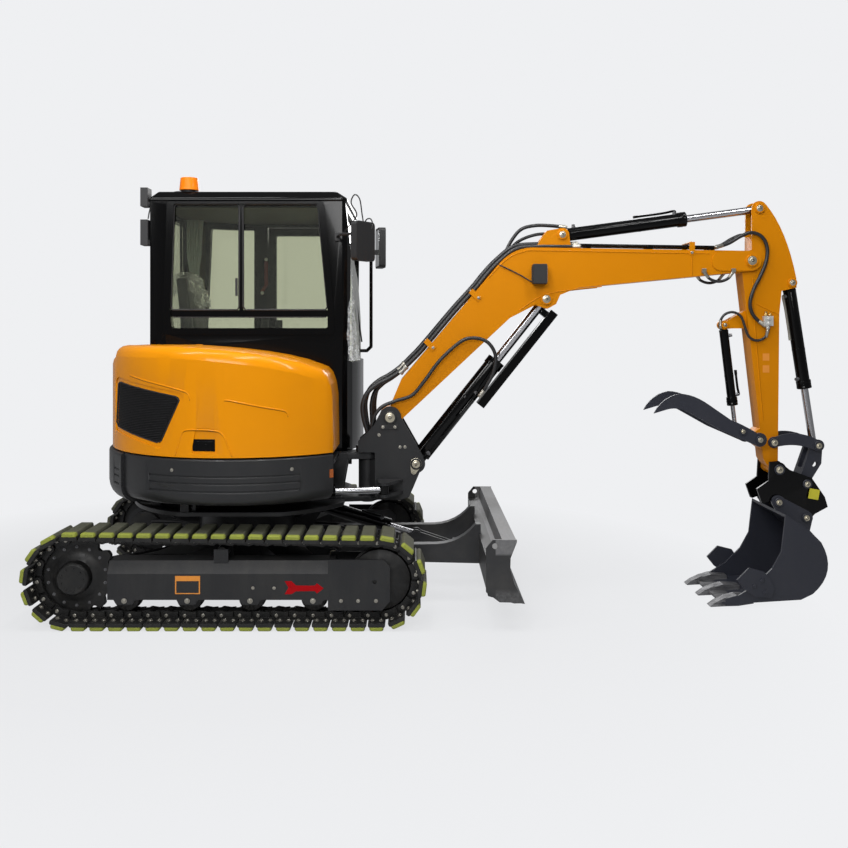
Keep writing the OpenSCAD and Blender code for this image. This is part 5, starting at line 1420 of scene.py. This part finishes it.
class EXCAVATOR_OT_cab_details(bpy.types.Operator):
    """Make the cab's seals, handles, wiper, lining, wires, belt and mirror glasses"""

    bl_idname = "excavator.cab_details"
    bl_label = "Cab fittings"

    def execute(self, context):
        right = box_mm("cab_frame")[0].y + 9
        seals = Build()
        panes = (((-462, 1764), (-440, 2419), (-38, 2419), (-38, 1764)),
                 ((-14, 1764), (-14, 2419), (448, 2419), (510, 1764)))
        for corners in panes:
            seals.tube([(p.x, right + 17, p.y) for p in outline(corners, (0.03, 0.3, 0.7, 0.97))], 6, 8)
        # handle of the sliding pane, and the rubber foot of the divider
        seals.block((-60, right + 2, 1850), (-46, right + 10, 1960))
        seals.block((-444, right + 6, 1716), (500, right + 12, 1722))
        # handle and lock of the door
        door = 840.0
        seals.block((80, door - 8, 1330), (200, door - 1, 1400))
        seals.block((92, door - 4, 1352), (176, door + 3, 1372))
        # wiper over the windscreen
        seals.cord([(676, 250, 1470), (668, 300, 1600), (654, 360, 1780)], 6)
        seals.cord([(690, 356, 1560), (660, 360, 1780), (628, 364, 2020)], 5)
        lining = Build()
        # the board follows the cab's round rear corner
        corner_r, thick = 768, 5
        corner = [(x, math.sqrt(corner_r * corner_r - x * x)) for x in range(-536, -430, 13)]
        board = corner + [(x, y - thick) for x, y in reversed(corner)]
        ceiling = [(-538, -120), (540, -120), (560, 0), (560, 700), (500, 740), (0, 745), (-300, 690), (-538, 530)]
        for shape, z0, z1 in ((board, 1620, 2370), (ceiling, 2399, 2404)):
            lining.loft([[(x, y, z) for x, y in shape] for z in (z0, z1)])
        lining.piece("cab_lining", "house", lining_olive, "trim_black", 2.0)
        seals.piece("cab_trim", "house", black_plastic, "trim_black", smooth=50)

        wires = Build()
        for points in WIRES:
            wires.cord(points, 4)
        wires.piece("lamp_wires", "house", hose_rubber, "trim_black", smooth=60)

        belt = Build()
        for a, b in (((-24, 2136), (-22, 1962)), ((-22, 1966), (-52, 1920))):
            belt.slab([(a[0] - 13, a[1]), (a[0] + 13, a[1]), (b[0] + 13, b[1]), (b[0] - 13, b[1])], 760, 764)
        belt.tone = 1
        for x, z in ((-24, 2150), (-52, 1908)):
            belt.turned((x, 768, z), (0, -1, 0), [(0, 12), (10, 12), (12, 9)], 16)
        belt.piece("belt", "house", (belt_red, bare_steel), "seat_cloth")

        mirrors = Build()
        # place of the foot, turn, half width, height of the middle, and how far the glass lies from it
        for place, turn, half, middle, deep in (((742, -405, 2048), -35, 75, 102.5, 22),
                                                ((797, 872, 2094), 12, 74, 131, 24)):
            mirrors.turn = placed(place, turn, "Z")
            shape = []
            for cy, cz, first in ((1, 1, 0), (-1, 1, 90), (-1, -1, 180), (1, -1, 270)):
                shape += arc(cy * (half - CORNER), middle + CORNER + cz * (middle - CORNER), CORNER,
                             range(first, first + 91, 30))
            mirrors.loft([[(d - deep, y, z) for y, z in shape] for d in (-1.5, 1.5)])
        mirrors.piece("mirror_glasses", "house", (mirror_glass, black_plastic), "lamp_shell", 0.8)
        return {"FINISHED"}


# middle plane of the seat
SEAT_Y = 325.0


class EXCAVATOR_OT_seat(bpy.types.Operator):
    """Make the seat's cushions, the film left on them and on the windscreen, and the gathered curtain"""

    bl_idname = "excavator.seat"
    bl_label = "Seat and curtain"

    def cushion(self, name, sections, lean):
        """A cushion lofted over sections of middle x, z, half depth and half width, its face leaning by degrees."""
        seams, dip, wide = (-105, 105), 7.0, 11.0
        ahead = Vector((math.cos(math.radians(lean)), 0, math.sin(math.radians(lean))))
        rings = []
        for x, z, depth, width in sections:
            ring = []
            for i in range(40):
                a = math.tau * i / 40
                c, n = math.cos(a), math.sin(a)
                u = math.copysign(abs(c) ** 0.5, c) * depth
                v = math.copysign(abs(n) ** 0.62, n) * width
                # two sewn channels run along the cushion's face
                if c > 0:
                    u -= dip * sum(math.exp(-((v - seam) / wide) ** 2) for seam in seams)
                ring.append(Vector((x, SEAT_Y + v, z)) + ahead * u)
            rings.append(ring)
        piece = Build().loft(rings).piece(name, "house", seat_cloth, "seat_cloth", smooth=80)

    def execute(self, context):
        # share of the way up or forward, half depth, half width
        back = ((0.0, 18, 150), (0.03, 36, 176), (0.10, 46, 196), (0.45, 48, 205), (0.80, 42, 190), (0.94, 34, 168),
                (0.985, 24, 150), (1.0, 10, 130))
        base = ((0.0, 20, 150), (0.03, 40, 190), (0.10, 50, 214), (0.5, 52, 222), (0.9, 50, 214), (0.97, 40, 196),
                (1.0, 18, 160))
        self.cushion("seat_back", [(-402 - 72 * t ** 1.2, 1450 + 500 * t, *half) for t, *half in back], 8)
        self.cushion("seat_base", [(-400 + 430 * t, 1425 + 10 * t, *half) for t, *half in base], 90)
        self.film("seat_film", self.over_seat, (0.48, 0.52), 36, 44, ["seat"])
        self.film("screen_film", self.on_screen, (0.16, 0.79), 20, 80, ["cab_windows", "cab_frame"])
        self.curtain()
        return {"FINISHED"}

    def over_seat(self, u, v, push):
        """A place on the film over the top of the seat's back: from behind, over the top, down the front."""
        y = (u - 0.5) * 420
        # shares of the film's length at which it turns over the top
        up, down, top = 0.25, 0.45, 2000
        if v < up:
            x, z = -536 + 10 * v, 1880 + 480 * v
        elif v < down:
            a = (v - up) / 0.2 * math.pi
            x, z = -483 - 50 * math.cos(a), top + 18 * math.sin(a)
        else:
            x, z = -433 + 150 * (v - down), top - 380 * (v - down)
        return Vector((x + push * (1 if v > 0.35 else -0.4), SEAT_Y + y * 0.98,
                       z + push * 0.5 - abs(y / 210) ** 3 * 60))

    def on_screen(self, u, v, push):
        """A place on the film that clings to the windscreen beside its right pillar."""
        sill, slope = 1426, 0.097
        z = 1450 + 780 * v
        a = math.radians(-68 + 62 * u)
        lean = slope * max(0.0, z - sill)
        return Vector((604 + 96 * math.cos(a) - lean + push * 0.35, -34 + 190 * math.sin(a) * 0.62, z))

    def film(self, name, spot, flat, columns, rows, rests_on):
        """Clear film, crumpled by two layers of noise."""

        def place(u, v):
            at = Vector((u * flat[0], v * flat[1], 0.0)) * 16
            return spot(u, v, noise.noise(at) * 26 + noise.noise(at * 2.7) * 11 + 8)

        # the film's white patches are painted sheen
        piece = cloth(name, place, columns, rows, 0.0008, clear_wrap, "seat_cloth", 60)

    def curtain(self):
        """The curtain, gathered in folds and drawn together at mid height."""
        low, high = box_mm("curtain")
        tall, columns, folds = high.z - 8 - low.z, 90, 6.5

        def place(u, v):
            z = low.z + tall * v
            tie = math.exp(-((z - 2010) / 130.0) ** 2)
            half = 66 - 32 * tie - 10 * math.exp(-((z - 2280) / 200.0) ** 2)
            deep = 15 + 5 * math.sin(v * 5.0) - 5 * tie
            phase = math.tau * folds * (u + 0.012 * math.sin(v * 9 + u * 11))
            return Vector((-472 + (2 * u - 1) * half + 5 * math.sin(v * 6.3) + 4 * math.sin(phase * 2),
                           (low.y + high.y) / 2 + deep * math.sin(phase) + 14 * math.sin(v * 3.1 + u * 4), z))

        edge = [place(i / columns, 0) * MM for i in range(columns + 1)]
        piece = cloth("curtain_folds", place, columns, 70, 0.0014, curtain_cloth, "curtain_cloth", 70)
        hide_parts("curtain")


# bolts of the cutters on the bucket's sides, as (x, z)
CUTTER_BOLTS = ((3095, 166), (3048, 131), (3113, 96))
# from the bucket's middle to the outside of a cutter
CUTTER_Y = 283


class EXCAVATOR_OT_tools(bpy.types.Operator):
    """Make the bolts of the bucket's cutters and the coupler's blank plate"""

    bl_idname = "excavator.tools"
    bl_label = "Bucket and coupler"

    def execute(self, context):
        bolts = Build()
        for side in (-1, 1):
            for x, z in CUTTER_BOLTS:
                bolts.bolt((x, BOOM_Y + side * CUTTER_Y, z), (0, side, 0), 11)
        bolts.piece("cutter_bolts", "bucket", tool_paint, "tool_grey")
        plate = Build()
        plate.turn = placed((3476, 0, 642), 10, "Y")
        plate.block((-31, -262.2, -31), (31, -259, 31))
        plate.piece("coupler_plate", "bucket", plate_yellow, "tool_grey")
        return {"FINISHED"}


OPERATORS = (EXCAVATOR_OT_stage, EXCAVATOR_OT_shells, EXCAVATOR_OT_tracks, EXCAVATOR_OT_undercarriage,
             EXCAVATOR_OT_house, EXCAVATOR_OT_pins, EXCAVATOR_OT_cylinders, EXCAVATOR_OT_boom_details,
             EXCAVATOR_OT_hoses, EXCAVATOR_OT_cab_details, EXCAVATOR_OT_seat, EXCAVATOR_OT_tools)


class EXCAVATOR_PT_panel(bpy.types.Panel):
    """Buttons that build the machine's looks step by step"""

    bl_label = "Excavator"
    bl_idname = "EXCAVATOR_PT_panel"
    bl_space_type = "VIEW_3D"
    bl_region_type = "UI"
    bl_category = "Excavator"

    def draw(self, context):
        for group in (paint(), sizes(), studio()):
            column = self.layout.column()
            for key in group.__annotations__:
                column.prop(group, key)
        for operator in OPERATORS:
            self.layout.operator(operator.bl_idname)


GROUPS = (
    ("excavator_paint", ExcavatorPaint),
    ("excavator_sizes", ExcavatorSizes),
    ("excavator_studio", ExcavatorStudio),
)


def register():
    for name, group in GROUPS:
        bpy.utils.register_class(group)
        setattr(bpy.types.Scene, name, PointerProperty(type=group))
    for operator in OPERATORS:
        bpy.utils.register_class(operator)
    bpy.utils.register_class(EXCAVATOR_PT_panel)


def unregister():
    bpy.utils.unregister_class(EXCAVATOR_PT_panel)
    for operator in reversed(OPERATORS):
        bpy.utils.unregister_class(operator)
    for name, group in reversed(GROUPS):
        delattr(bpy.types.Scene, name)
        bpy.utils.unregister_class(group)


def main():
    register()
    for operator in OPERATORS:
        call = getattr(bpy.ops.excavator, operator.bl_idname.split(".")[1])
        call()


if __name__ == "__main__":
    main()
